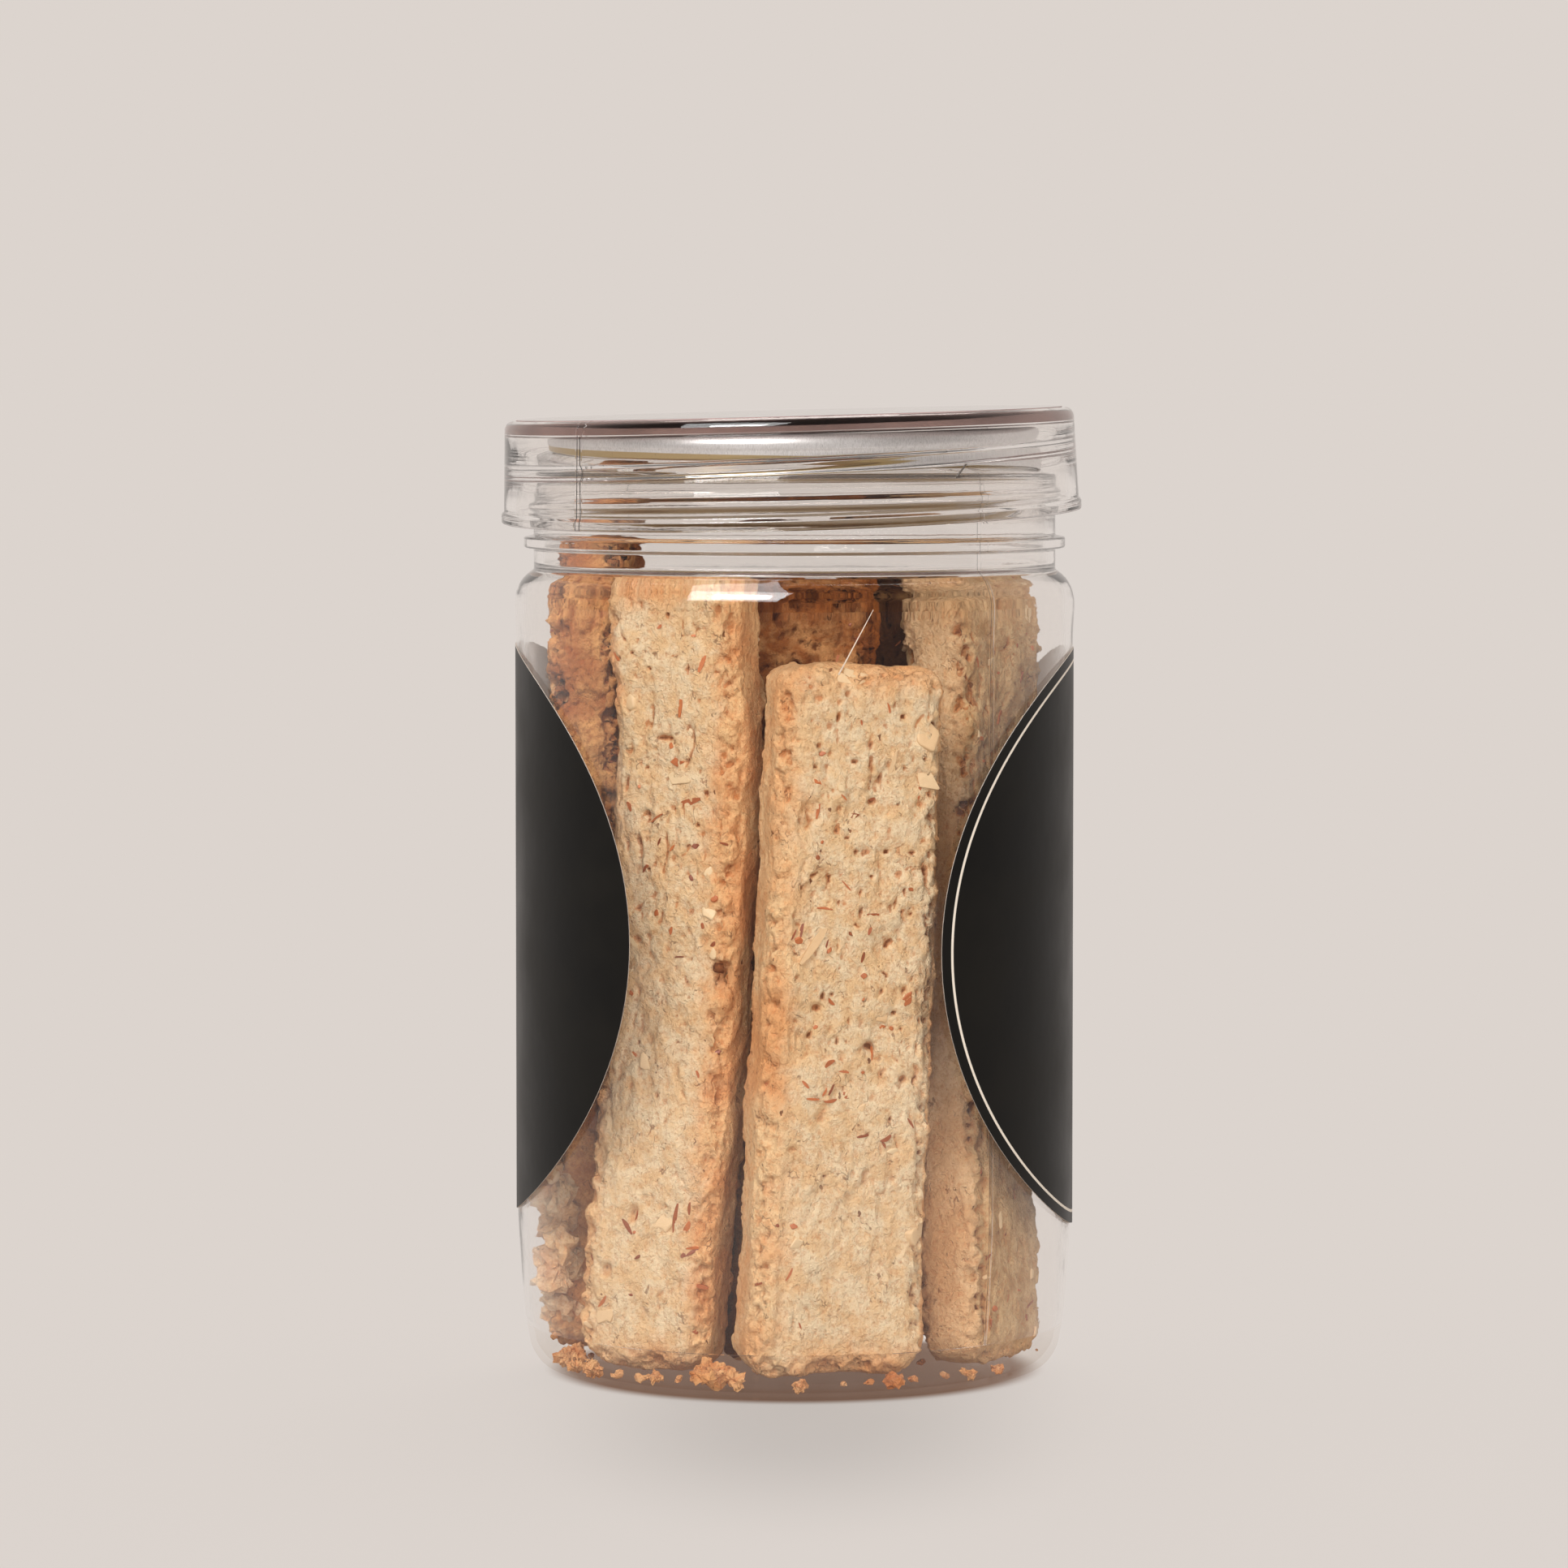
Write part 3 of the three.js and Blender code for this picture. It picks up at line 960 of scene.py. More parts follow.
@dataclass
class ScrewLid:
    """The clear lid, turned in its own frame and set down askew, with its round top label.

    All sizes are in millimetres. The tips are its lean in degrees: forward at the top and at the rim,
    and to the side.
    """

    steps: int = 144
    height: float = 15.5
    top_r: float = 43.4
    rim_r: float = 43.85
    flange_r: float = 44.25
    in_r: float = 42.0
    plate: float = 1.35
    label_r: float = 41.6
    place: tuple[float, float, float] = (-0.43, 0.0, 130.8)
    tip_top: float = 0.35
    tip_rim: float = 1.9
    tip_side: float = -1.49
    thread: Thread = field(default_factory=lambda: Thread(-0.75, 1.3, 0.4, 4.6, 8.75))

    def seat(self, piece: Piece) -> None:
        """Sets a piece made in the lid's frame down on the neck, its rim pulled lower at the front.

        Args:
            piece: The piece, standing on the origin.
        """
        piece.rotation_euler = (0, math.radians(self.tip_side), 0)
        Bench.settle(piece)
        spots = Bench.places(piece)
        share = np.clip(spots[:, 2] / (self.height * MM), 0, 1)
        tip = np.radians(self.tip_rim + (self.tip_top - self.tip_rim) * share)
        y, z = spots[:, 1].copy(), spots[:, 2].copy()
        spots[:, 1] = y * np.cos(tip) - z * np.sin(tip)
        spots[:, 2] = y * np.sin(tip) + z * np.cos(tip)
        Bench.move(piece, spots)
        piece.location = Vector(self.place) * MM
        Bench.settle(piece)

    def build(self) -> list[Piece]:
        """Makes the lid and its top label.

        Returns:
            Both pieces.
        """
        under = self.height - self.plate
        profile = [
            Corner(0, under), Corner(self.in_r - 1.1, under, 0.6), Corner(self.in_r, under - 0.8, 0.6),
            *self.thread.rows(self.in_r, False),
            Corner(self.in_r, 2.2, 0.5), Corner(self.in_r + 0.4, 0.05, 0.2),
            Corner(self.flange_r, 0.05, 0.35), Corner(self.flange_r, 1.4, 0.3),
            Corner(self.rim_r, 1.9, 0.4), Corner(self.top_r, self.height - 1.1, 1.5),
            Corner(self.top_r - 0.4, self.height - 0.3, 0.8), Corner(self.top_r - 1.2, self.height, 0.6),
            Corner(0, self.height),
        ]
        lid = turned("clear_lid", trace(profile), self.steps)
        self.seat(lid)
        Bench.smooth(lid, 50)
        plastic = ClearPlastic("lid_plastic", seam_turn=-47.2, seam_half=0.24, seam_lift=0.5)
        lid.data.materials.append(plastic.make())
        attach(lid, "root")
        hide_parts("lid")
        low, high = self.height - 0.08, self.height + 0.12
        edge = [Corner(0, low), Corner(self.label_r, low), Corner(self.label_r, high - 0.02, 0.05),
                Corner(self.label_r - 0.05, high, 0.05), Corner(0, high)]
        label = turned("top_label", trace(edge), 96)
        under_side = [side.index for side in label.data.polygons if side.normal.z < 0.3]
        self.seat(label)
        Bench.smooth(label, 30)
        sides = (LabelFace.FRONT, LabelFace.BACK)
        for side in sides:
            paper = LabelPaper("top_label", side, gloss=1.0, back=srgb(198, 168, 164))
            label.data.materials.append(paper.make())
        for index in under_side:
            label.data.polygons[index].material_index = sides.index(LabelFace.BACK)
        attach(label, "root")
        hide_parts("label_top")
        return [lid, label]


@dataclass
class SeamedEnd:
    """The metal end, seamed over the jar's mouth under the lid."""

    steps: int = 128
    seam_r: float = 37.75
    seam_in_r: float = 36.0
    high: float = 143.8
    low: float = 139.2
    panel_r: float = 33.2

    def build(self) -> Piece:
        """Turns the end and dresses it.

        Returns:
            The metal end.
        """
        profile = [
            Corner(0, 139.3), Corner(self.panel_r, 139.3, 0.4), Corner(self.panel_r + 0.6, 138.3, 0.4),
            Corner(35.0, 138.3, 0.3), Corner(35.6, 138.8, 0.3), Corner(35.6, 140.6, 0.2),
            Corner(37.3, 140.6, 0.2), Corner(37.3, self.low, 0.1), Corner(self.seam_r - 0.2, self.low, 0.15),
            Corner(self.seam_r - 0.1, 140.7, 0.3), Corner(self.seam_r, 141.1, 0.4),
            Corner(self.seam_r, 141.7), Corner(self.seam_r - 0.08, 142.3), Corner(self.seam_r - 0.26, 142.9),
            Corner(self.seam_r - 0.55, 143.4), Corner(self.seam_r - 0.95, 143.7),
            Corner(self.seam_r - 1.35, self.high), Corner(self.seam_in_r, self.high - 0.1, 0.5),
            Corner(self.seam_in_r - 0.6, self.high - 0.6, 0.5),
            Corner(34.4, 139.2, 0.4), Corner(self.panel_r + 0.9, 139.0, 0.3),
            Corner(self.panel_r, 140.0, 0.4), Corner(0, 140.0),
        ]
        end = turned("seamed_end", trace(profile), self.steps)
        Bench.smooth(end, 40)
        end.data.materials.append(BrushedMetal("brushed_end").make())
        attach(end, "root")
        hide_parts("metal_end")
        return end


@dataclass
class WrappedLabel:
    """A round paper label wrapped on the body, its sizes in millimetres and its turn in degrees."""

    name: str
    node: str
    turn: float
    z: float
    r: float
    ring_inset: float = 0.0
    bend_r: float = 42.95
    inner_r: float = 42.46
    thick: float = 0.17
    rings: int = 24

    def build(self) -> Piece:
        """Cuts the disc, wraps it on the body and dresses it.

        Returns:
            The label.
        """
        reaches = [self.r * k / self.rings for k in range(self.rings + 1)]
        rows = [Row(reach, 0) for reach in reaches] + [Row(reach, self.thick) for reach in reversed(reaches)]
        label = turned(self.name, rows, 128)
        flat = Bench.places(label)
        angle = math.radians(self.turn) + flat[:, 0] / (self.bend_r * MM)
        radius = self.inner_r * MM + flat[:, 2]
        bent = np.stack([radius * np.sin(angle), -radius * np.cos(angle), self.z * MM + flat[:, 1]], 1)
        disc = label.data.attributes.new("disc", "FLOAT_VECTOR", "POINT")
        disc.data.foreach_set("vector", np.stack([flat[:, 0], flat[:, 1], 0 * angle], 1).ravel())
        Bench.move(label, bent)
        ring = self.r - self.ring_inset if self.ring_inset else 0.0
        for face in LabelFace:
            label.data.materials.append(LabelPaper(self.name, face, ring).make())
        for side in label.data.polygons:
            outer = [flat[corner, 2] > self.thick * MM / 2 for corner in side.vertices]
            face = LabelFace.FRONT if all(outer) else LabelFace.CUT_EDGE if any(outer) else LabelFace.BACK
            side.material_index = face.value
        with Bench.edit(label):
            bpy.ops.mesh.select_all(action="SELECT")
            bpy.ops.mesh.normals_make_consistent(inside=False)
        Bench.smooth(label, 30)
        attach(label, "root")
        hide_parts(self.node)
        return label


@dataclass(frozen=True)
class SliceEnd:
    """One end of a slice's middle line, with the slice's width, thickness and turn there."""

    x: float
    y: float
    z: float
    w: float
    t: float
    turn: float


@dataclass(frozen=True)
class Relief:
    """One layer of relief on a slice, with its size and depth in millimetres.

    Attributes:
        name: Name of the layer.
        kind: Blender's name of its texture.
        size: Size of its lumps.
        depth: Its depth.
        middle: The level of the texture that stays where it is.
        where: The vertex group that it acts on, or everywhere.
        octaves: Octaves of finer lumps.
        stretched: Whether its lumps are taller than wide.
        hard: Whether its lumps have sharp valleys.
        ramp: Levels between which the texture goes from none to full.
    """

    name: str
    kind: str
    size: float
    depth: float
    middle: float
    where: str = ""
    octaves: int = 1
    stretched: bool = False
    hard: bool = False
    ramp: Point | None = None


RELIEF = (
    Relief("swell", "CLOUDS", 15.0, 1.8, 0.55),
    Relief("lump", "CLOUDS", 5.5, 1.0, 0.53, octaves=2),
    Relief("chip", "CLOUDS", 2.0, 4.2, 0.58, "edge", octaves=4),
    Relief("bite", "CLOUDS", 3.0, 1.15, 0.7, "edge", octaves=3, ramp=(0.42, 0.52)),
    Relief("plate", "CLOUDS", 3.4, 0.38, 0.8, "crumb", octaves=3, stretched=True, ramp=(0.42, 0.52)),
    Relief("tear", "CLOUDS", 3.2, 0.7, 1.0, "torn", stretched=True, hard=True, ramp=(0.03, 0.2)),
    Relief("pit", "VORONOI", 3.0, 0.7, 1.0, "pits", ramp=(0.05, 0.16)),
    Relief("grit", "CLOUDS", 0.9, 0.45, 0.5, "crumb", octaves=3),
)


class Mark(Enum):
    """What a mark seen on a cut face is."""

    MEAT = "meat"
    SKIN = "skin"
    PIT = "pit"


@dataclass(frozen=True)
class Seen:
    """Marks of one kind seen on a slice's front cut face.

    Each spot gives across, along, length and width in millimetres and the tilt in degrees.
    """

    kind: Mark
    spots: tuple[tuple[float, float, float, float, float], ...]


@dataclass
class Biscotto:
    """One long slice: a crumbly cut face, a smoother toasted rim and bits of almond.

    Attributes:
        node: Name of the solid that it replaces.
        seed: Seed of its relief.
        foot: Its lower end.
        head: Its upper end.
        voxel: Size of its grain in millimetres.
        dough: Its finish.
        rim_left: Width of the baked rim on the left.
        rim_right: Width of the baked rim on the right.
        rough: Depth of the relief, 1 for a plain cut.
        coarse: How coarse the baked sides are beside the cut face.
        corner_r: Radius of its long edges.
        cap: Height of the baked rim at the ends.
        calm: How much smoother the baked sides are than the cut face.
        top_shade: How much darker the upper end is.
        foot_r: Radius of the foot's corners.
        bow: How far its middle bows out to the right.
        seen: Marks seen on its front cut face.
        piece: The finished slice, once it is made.
    """

    node: str
    seed: int
    foot: SliceEnd
    head: SliceEnd
    voxel: float = 0.6
    dough: BakedDough = field(default_factory=lambda: BakedDough("dough"))
    rim_left: float = 5.0
    rim_right: float = 1.2
    rough: float = 1.0
    coarse: float = 0.85
    corner_r: float = 3.6
    cap: float = 6.0
    calm: float = 0.0
    top_shade: float = 0.0
    foot_r: float = 5.5
    bow: float = 0.0
    seen: tuple[Seen, ...] = ()
    piece: Piece | None = None

    @property
    def tall(self) -> float:
        """Gives the slice's height in millimetres."""
        return self.head.z - self.foot.z

    def turn_at(self, share: float | np.ndarray) -> float | np.ndarray:
        """Gives the slice's turn, in radians, at a share of its height."""
        return np.radians(self.foot.turn + (self.head.turn - self.foot.turn) * share)

    def block(self) -> Piece:
        """Sets up the leaning block that the slice is cut from.

        Returns:
            The block with rounded edges.
        """
        foot, head, tall = self.foot, self.head, self.tall
        Bench.clear()
        size = (foot.w * MM, foot.t * MM, tall * MM)
        bpy.ops.mesh.primitive_cube_add(size=1, location=(0, 0, 0), scale=size)
        block = Bench.named("slice_" + self.node.removeprefix("biscotto_"))
        Bench.settle(block)
        with Bench.edit(block):
            Bench.pick(block, lambda co: co.z > 0)
            bpy.ops.transform.resize(value=(head.w / foot.w, head.t / foot.t, 1))
            Bench.pick_edges(block, lambda a, b: max(a.z, b.z) < 0 and abs(a.x - b.x) < NEAR)
            bpy.ops.mesh.bevel(offset=self.foot_r * MM, segments=5, affect="EDGES")
        block.rotation_euler = (0, 0, math.radians(foot.turn))
        block.location = (foot.x * MM, foot.y * MM, (foot.z + tall / 2) * MM)
        Bench.settle(block)
        with Bench.edit(block):
            Bench.pick(block, lambda co: co.z > (foot.z + tall / 2) * MM)
            centre = (foot.x * MM, foot.y * MM, head.z * MM)
            twist = -math.radians(head.turn - foot.turn)
            if twist:
                bpy.ops.transform.rotate(value=twist, orient_axis="Z", center_override=centre)
            bpy.ops.transform.translate(value=((head.x - foot.x) * MM, (head.y - foot.y) * MM, 0))
            for share in (0.2, 0.4, 0.6, 0.8) if self.bow else ():
                level = (foot.z + tall * share) * MM
                bpy.ops.mesh.select_all(action="SELECT")
                bpy.ops.mesh.bisect(plane_co=(0, 0, level), plane_no=(0, 0, 1))
                Bench.pick(block, lambda co, level=level: abs(co.z - level) < NEAR)
                bpy.ops.transform.translate(value=(self.bulge(share) * MM, 0, 0))
        edge = block.modifiers.new("edge", "BEVEL")
        edge.width = self.corner_r * MM
        edge.segments = 4
        edge.angle_limit = math.radians(40)
        grain = block.modifiers.new("grain", "REMESH")
        grain.mode = "VOXEL"
        grain.voxel_size = self.voxel * MM
        Bench.finish_modifiers(block)
        return block

    def bulge(self, share: float) -> float:
        """Says how far the slice bows out at a share of its height."""
        return self.bow * 4 * share * (1 - share)

    def local(self, places: np.ndarray) -> np.ndarray:
        """Finds where places lie in the slice.

        Args:
            places: Places in metres, one a row.

        Returns:
            Across, deep and along in millimetres from the slice's middle, one a row.
        """
        foot, head = self.foot, self.head
        p = places / MM
        share = (p[:, 2] - foot.z) / self.tall
        angle = self.turn_at(share)
        x = p[:, 0] - (foot.x + (head.x - foot.x) * share) - self.bulge(share)
        y = p[:, 1] - (foot.y + (head.y - foot.y) * share)
        across = (x * np.cos(angle) + y * np.sin(angle)) * foot.w / (foot.w + (head.w - foot.w) * share)
        deep = -x * np.sin(angle) + y * np.cos(angle)
        return np.stack([across, deep, (share - 0.5) * self.tall], 1)

    def spot(self, across: float, along: float, front: bool) -> tuple[Vector, Vector]:
        """Finds a place on a cut face's plane and the way out of it.

        Args:
            across: Millimetres from the middle, across the cut face.
            along: Millimetres from the middle, along the slice.
            front: Whether the face is the one that the turn points.

        Returns:
            The place, in metres, and the outward direction.
        """
        foot, head = self.foot, self.head
        share = along / self.tall + 0.5
        angle = self.turn_at(share)
        side = -1 if front else 1
        deep = side * (foot.t / 2 + 1)
        x = foot.x + (head.x - foot.x) * share + self.bulge(share)
        x += across * math.cos(angle) - deep * math.sin(angle)
        y = foot.y + (head.y - foot.y) * share + across * math.sin(angle) + deep * math.cos(angle)
        z = foot.z + share * self.tall
        return Vector((x, y, z)) * MM, Vector((-side * math.sin(angle), side * math.cos(angle), 0))

    def weights(self, place: np.ndarray) -> dict[str, np.ndarray]:
        """Says how strongly the relief acts at places on the block.

        Args:
            place: Places in metres, one a row.

        Returns:
            The weights from 0 to 1 by the name of their vertex group.
        """
        local = self.local(place)
        side = self.foot.w / 2 - abs(local[:, 0])
        rim = np.minimum(side, self.tall / 2 - abs(local[:, 2]))
        off_face = self.foot.t / 2 - abs(local[:, 1])
        crumb = np.clip((rim - 0.8) / 2.4, 0, 1) * np.clip((1.3 - off_face) / 0.8, 0, 1)
        edge = np.clip(1.5 - np.hypot(np.clip(rim, 0, None), np.clip(off_face, 0, None)) / 2.2, 0, 1)
        gate = np.array([noise.noise(Vector(p) * 300 + Vector((self.seed, 0, 0))) for p in place])
        firm = np.interp(place[:, 2] / MM, (20, 75), (0.45, 1.0))
        coarse = self.coarse * (1 - 0.45 * self.calm)
        return {"crumb": (coarse + (1 - coarse) * crumb) * (0.4 + 0.6 * firm),
                "torn": crumb * np.clip(gate * 4 - 0.1, 0, 1) * firm,
                "edge": edge,
                "pits": crumb * np.clip(0.7 - gate * 4, 0, 1) * firm}

    def roughen(self, block: Piece, stretch: Piece) -> None:
        """Breaks the block's surface up into crust, crumb, pits and tears.

        Args:
            block: The block to roughen.
            stretch: An empty whose height stretches the tears.
        """
        for name, weights in self.weights(Bench.places(block)).items():
            group = block.vertex_groups.new(name=name)
            levels = np.round(weights * WEIGHT_LEVELS).astype(int)
            for level in range(1, WEIGHT_LEVELS + 1):
                group.add(np.nonzero(levels == level)[0].tolist(), level / WEIGHT_LEVELS, "REPLACE")
        rng = random.Random(self.seed)
        for layer in RELIEF:
            texture = bpy.data.textures.new(f"{layer.name}_{self.seed}", layer.kind)
            texture.noise_scale = layer.size * MM * rng.uniform(0.93, 1.08)
            if layer.kind == "CLOUDS":
                texture.noise_depth = layer.octaves
                texture.noise_basis = "ORIGINAL_PERLIN"
                texture.noise_type = "HARD_NOISE" if layer.hard else "SOFT_NOISE"
            if layer.ramp:
                texture.use_color_ramp = True
                for stop, at, level in zip(texture.color_ramp.elements, layer.ramp, (0, 1)):
                    stop.position = at
                    stop.color = (level, level, level, 1)
            press = block.modifiers.new(layer.name, "DISPLACE")
            press.texture = texture
            press.texture_coords = "OBJECT" if layer.stretched else "LOCAL"
            if layer.stretched:
                press.texture_coords_object = stretch
            press.strength = layer.depth * self.rough * MM
            press.mid_level = layer.middle
            press.vertex_group = layer.where
        Bench.finish_modifiers(block)
        block.vertex_groups.clear()
        self.dent(block)

    def dent(self, block: Piece) -> None:
        """Presses the pits that were seen into the front cut face.

        Args:
            block: The roughened slice.
        """
        place = Bench.places(block)
        local = self.local(place)
        angle = self.turn_at(local[:, 2] / self.tall + 0.5)
        for group in self.seen:
            for across, along, long, wide, tilt in group.spots if group.kind is Mark.PIT else ():
                lean = math.radians(tilt)
                dx, dz = local[:, 0] - across, local[:, 2] - along
                one = (dx * math.cos(lean) + dz * math.sin(lean)) / (0.62 * long)
                two = (-dx * math.sin(lean) + dz * math.cos(lean)) / (0.62 * wide)
                push = np.exp(-(one * one + two * two) ** 2) * min(1.1, 0.35 + 0.5 * wide) * (local[:, 1] < 0)
                place[:, 0] -= np.sin(angle) * push * MM
                place[:, 1] += np.cos(angle) * push * MM
        Bench.move(block, place)

    def marks(self, block: Piece) -> None:
        """Records how near each corner lies to the crust, and how deep in a hollow, which the material turns
        into painted shade.

        Args:
            block: The roughened slice.
        """
        place = Bench.places(block)
        local = self.local(place)
        right = (self.foot.w / 2 - 0.7 - local[:, 0]) / self.rim_right
        left = (self.foot.w / 2 - 0.7 + local[:, 0]) / self.rim_left
        ends = (self.tall / 2 - abs(local[:, 2])) / self.cap
        share = 1 - np.minimum(np.minimum(right, left), ends)
        # Painted shade: the baked colour spreads towards the upper end, darkening it, and thins towards the
        # foot.
        share = np.clip(share, 0, 1) + self.top_shade * 2 * local[:, 2] / self.tall
        Bench.record(block, "crust", np.clip(share, 0, 1))
        depth = self.sunk(block.data, place)
        depth *= 1 - self.calm * np.clip(share * 1.6, 0, 1)
        depth /= 0.16 * self.rough ** 0.8
        Bench.record(block, "hollow", np.clip(depth, -1, 2 / self.rough ** 0.6))

    @staticmethod
    def sunk(mesh: bpy.types.Mesh, place: np.ndarray) -> np.ndarray:
        """Measures how far each corner lies below the softened surface round it.

        Args:
            mesh: The slice's mesh.
            place: Places of its corners in metres, one a row.

        Returns:
            The depths in millimetres, negative on a rise.
        """
        count = len(mesh.vertices)
        pairs = np.empty(len(mesh.edges) * 2, np.int32)
        mesh.edges.foreach_get("vertices", pairs)
        one, two = pairs[::2], pairs[1::2]
        links = np.bincount(one, minlength=count) + np.bincount(two, minlength=count)
        soft = place.copy()
        for _ in range(SOFTENINGS):
            total = np.stack([np.bincount(one, soft[two, k], count) + np.bincount(two, soft[one, k], count)
                              for k in range(3)], 1)
            soft = 0.5 * soft + 0.5 * total / links[:, None]
        facing = np.empty(count * 3)
        mesh.vertex_normals.foreach_get("vector", facing)
        return ((soft - place) * facing.reshape(-1, 3)).sum(1) / MM

    def build(self, stretch: Piece) -> Piece:
        """Makes the slice and dresses it.

        Args:
            stretch: An empty whose height stretches the tears.

        Returns:
            The slice.
        """
        block = self.block()
        self.roughen(block, stretch)
        with Bench.edit(block):
            bpy.ops.mesh.select_all(action="SELECT")
            bpy.ops.mesh.normals_make_consistent(inside=False)
            bpy.ops.mesh.faces_shade_smooth()
        self.marks(block)
        block.data.materials.append(self.dough.make())
        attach(block, "root")
        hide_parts(self.node)
        self.piece = block
        return block


@dataclass(frozen=True)
class Scatter:
    """How many bits of one shape a cut face has, and how long and wide they are in millimetres."""

    count: int
    long: Point
    wide: Point
    in_lengths: bool = False


SCATTER = {
    Mark.MEAT: (Scatter(20, (1.6, 3.8), (0.5, 0.9), True), Scatter(4, (2.5, 5.0), (0.6, 0.9))),
    Mark.SKIN: (Scatter(16, (0.5, 1.3), (0.5, 0.9), True), Scatter(34, (0.8, 2.4), (0.22, 0.42))),
}


@dataclass
class AlmondBits:
    """Cut almond and bits of its skin, set into the cut faces of the slices."""

    slices: Sequence[Biscotto]
    beside_known: float = 0.35
    seed: int = 5

    def chunk(self, name: str, sides: int, rng: random.Random) -> bpy.types.Mesh:
        """Models one angular bit, about a unit across and lying flat.

        Args:
            name: Name of the bit.
            sides: Number of its sides.
            rng: The seeded draw for its outline.

        Returns:
            The bit's mesh.
        """
        Bench.clear()
        bpy.ops.mesh.primitive_cylinder_add(vertices=sides, radius=0.5, depth=1, location=(0, 0, 0))
        bit = Bench.named(name)
        with Bench.edit(bit):
            for k in range(sides):
                way = 2 * math.pi * k / sides
                near = Vector((math.sin(way), math.cos(way), 0)) * 0.5
                side = Vector((near.y, -near.x, 0)) * rng.uniform(-0.5, 0.5)
                Bench.pick(bit, lambda co, near=near: (Vector((co.x, co.y, 0)) - near).length < 0.05)
                pull = near * rng.uniform(-0.42, 0.3) + side
                bpy.ops.transform.translate(value=(pull.x, pull.y, rng.uniform(-0.1, 0.1)))
        rim = bit.modifiers.new("rim", "BEVEL")
        rim.width = 0.14
        rim.segments = 3
        Bench.finish_modifiers(bit)
        mesh = bit.data
        bpy.data.objects.remove(bit)
        return mesh

    def sliver(self, name: str, bow: float) -> bpy.types.Mesh:
        """Models one thin curved sliver, a unit long and lying flat.

        Args:
            name: Name of the sliver.
            bow: How far its middle bows out.

        Returns:
            The sliver's mesh.
        """
        Bench.clear()
        bpy.ops.mesh.primitive_cube_add(size=1, location=(0, 0, 0))
        bit = Bench.named(name)
        with Bench.edit(bit):
            for place in (-0.3, -0.1, 0.1, 0.3):
                bpy.ops.mesh.select_all(action="SELECT")
                bpy.ops.mesh.bisect(plane_co=(place, 0, 0), plane_no=(1, 0, 0))
            for place in (-0.5, -0.3, -0.1, 0.1, 0.3, 0.5):
                Bench.pick(bit, lambda co, place=place: abs(co.x - place) < 0.01)
                thin = 0.3 + 0.7 * math.cos(math.pi * place * 0.95)
                bpy.ops.transform.resize(value=(1, thin, 1), center_override=(place, 0, 0))
                bpy.ops.transform.translate(value=(0, bow * (1 - 4 * place * place), 0))
        mesh = bit.data
        bpy.data.objects.remove(bit)
        return mesh

    def set_in(self, whole: bmesh.types.BMesh, one: Biscotto, tree: BVHTree, shape: bpy.types.Mesh,
               spot: tuple[float, float, bool], size: tuple[float, float, float], tilt: float,
               rng: random.Random) -> None:
        """Sets one bit into a cut face.

        Args:
            whole: The mesh that collects the bits.
            one: The slice.
            tree: The slice's surface.
            shape: The bit to copy.
            spot: Across and along in millimetres, and whether it is the front face.
            size: Length, width and depth in millimetres.
            tilt: Tilt on the face in degrees, 0 lying across.
            rng: The seeded draw for how the bit sits.
        """
        start, out = one.spot(*spot)
        hit, normal, _face, _far = tree.ray_cast(start + out * 2 * MM, -out)
        if hit is None:
            return
        facing = out.lerp(normal, 0.6).normalized()
        side = Vector((0, 0, 1)).cross(facing).normalized()
        lie = Matrix((side, facing.cross(side), facing)).transposed().to_4x4()
        turn = Matrix.Rotation(math.radians(tilt), 4, "Z") @ Matrix.Rotation(rng.uniform(-0.25, 0.25), 4, "X")
        scale = Matrix.Diagonal((size[0] * MM, size[1] * MM, size[2] * MM, 1))
        sink = rng.uniform(0.02, 0.22) - size[2] / 2
        move = Matrix.Translation(hit + facing * sink * MM) @ lie @ turn @ scale
        before = len(whole.verts)
        whole.from_mesh(shape)
        whole.verts.ensure_lookup_table()
        tone, layer = rng.random(), whole.verts.layers.float["tone"]
        for corner in whole.verts[before:]:
            corner.co = move @ corner.co
            corner[layer] = tone

    def gather(self, name: str, kind: Mark, material: bpy.types.Material) -> Piece:
        """Sets all bits of one kind into the slices, those that were seen first.

        Args:
            name: Name of the finished piece.
            kind: Almond meat or skin.
            material: The finish of the bits.

        Returns:
            All of them as one piece.
        """
        rng = random.Random(f"{name}{self.seed}")
        chunks = [self.chunk(f"{name}_chunk_{k}", 5 + k % 3, rng) for k in range(6)]
        slivers = [self.sliver(f"{name}_sliver_{k}", 0.1 * k - 0.25) for k in range(6)]
        whole = bmesh.new()
        whole.verts.layers.float.new("tone")
        for one in self.slices:
            tree = BVHTree.FromPolygons([v.co for v in one.piece.data.vertices],
                                        [p.vertices for p in one.piece.data.polygons])
            known = [spot for group in one.seen if group.kind is kind for spot in group.spots]
            for across, along, long, wide, tilt in known:
                shapes = slivers if long > 2.2 * wide else chunks
                self.set_in(whole, one, tree, rng.choice(shapes), (across, along, True),
                            (long * 1.25, wide * 1.25, max(0.4, min(1.5, wide))), tilt, rng)
            for front in (True, False):
                share = self.beside_known if front and known else 1.0
                for shapes, sort in zip((chunks, slivers), SCATTER[kind]):
                    for _ in range(round(sort.count * share)):
                        across = rng.uniform(-0.44, 0.44) * one.foot.w
                        along = rng.uniform(-0.47, 0.47) * one.tall
                        long = rng.uniform(*sort.long)
                        wide = rng.uniform(*sort.wide) * (long if sort.in_lengths else 1.0)
                        self.set_in(whole, one, tree, rng.choice(shapes), (across, along, front),
                                    (long, wide, max(0.35, wide * 0.7)), rng.gauss(75, 45), rng)
        mesh = bpy.data.meshes.new(name)
        whole.to_mesh(mesh)
        whole.free()
        for shape in chunks + slivers:
            bpy.data.meshes.remove(shape)
        bits = bpy.data.objects.new(name, mesh)
        bpy.context.collection.objects.link(bits)
        mesh.materials.append(material)
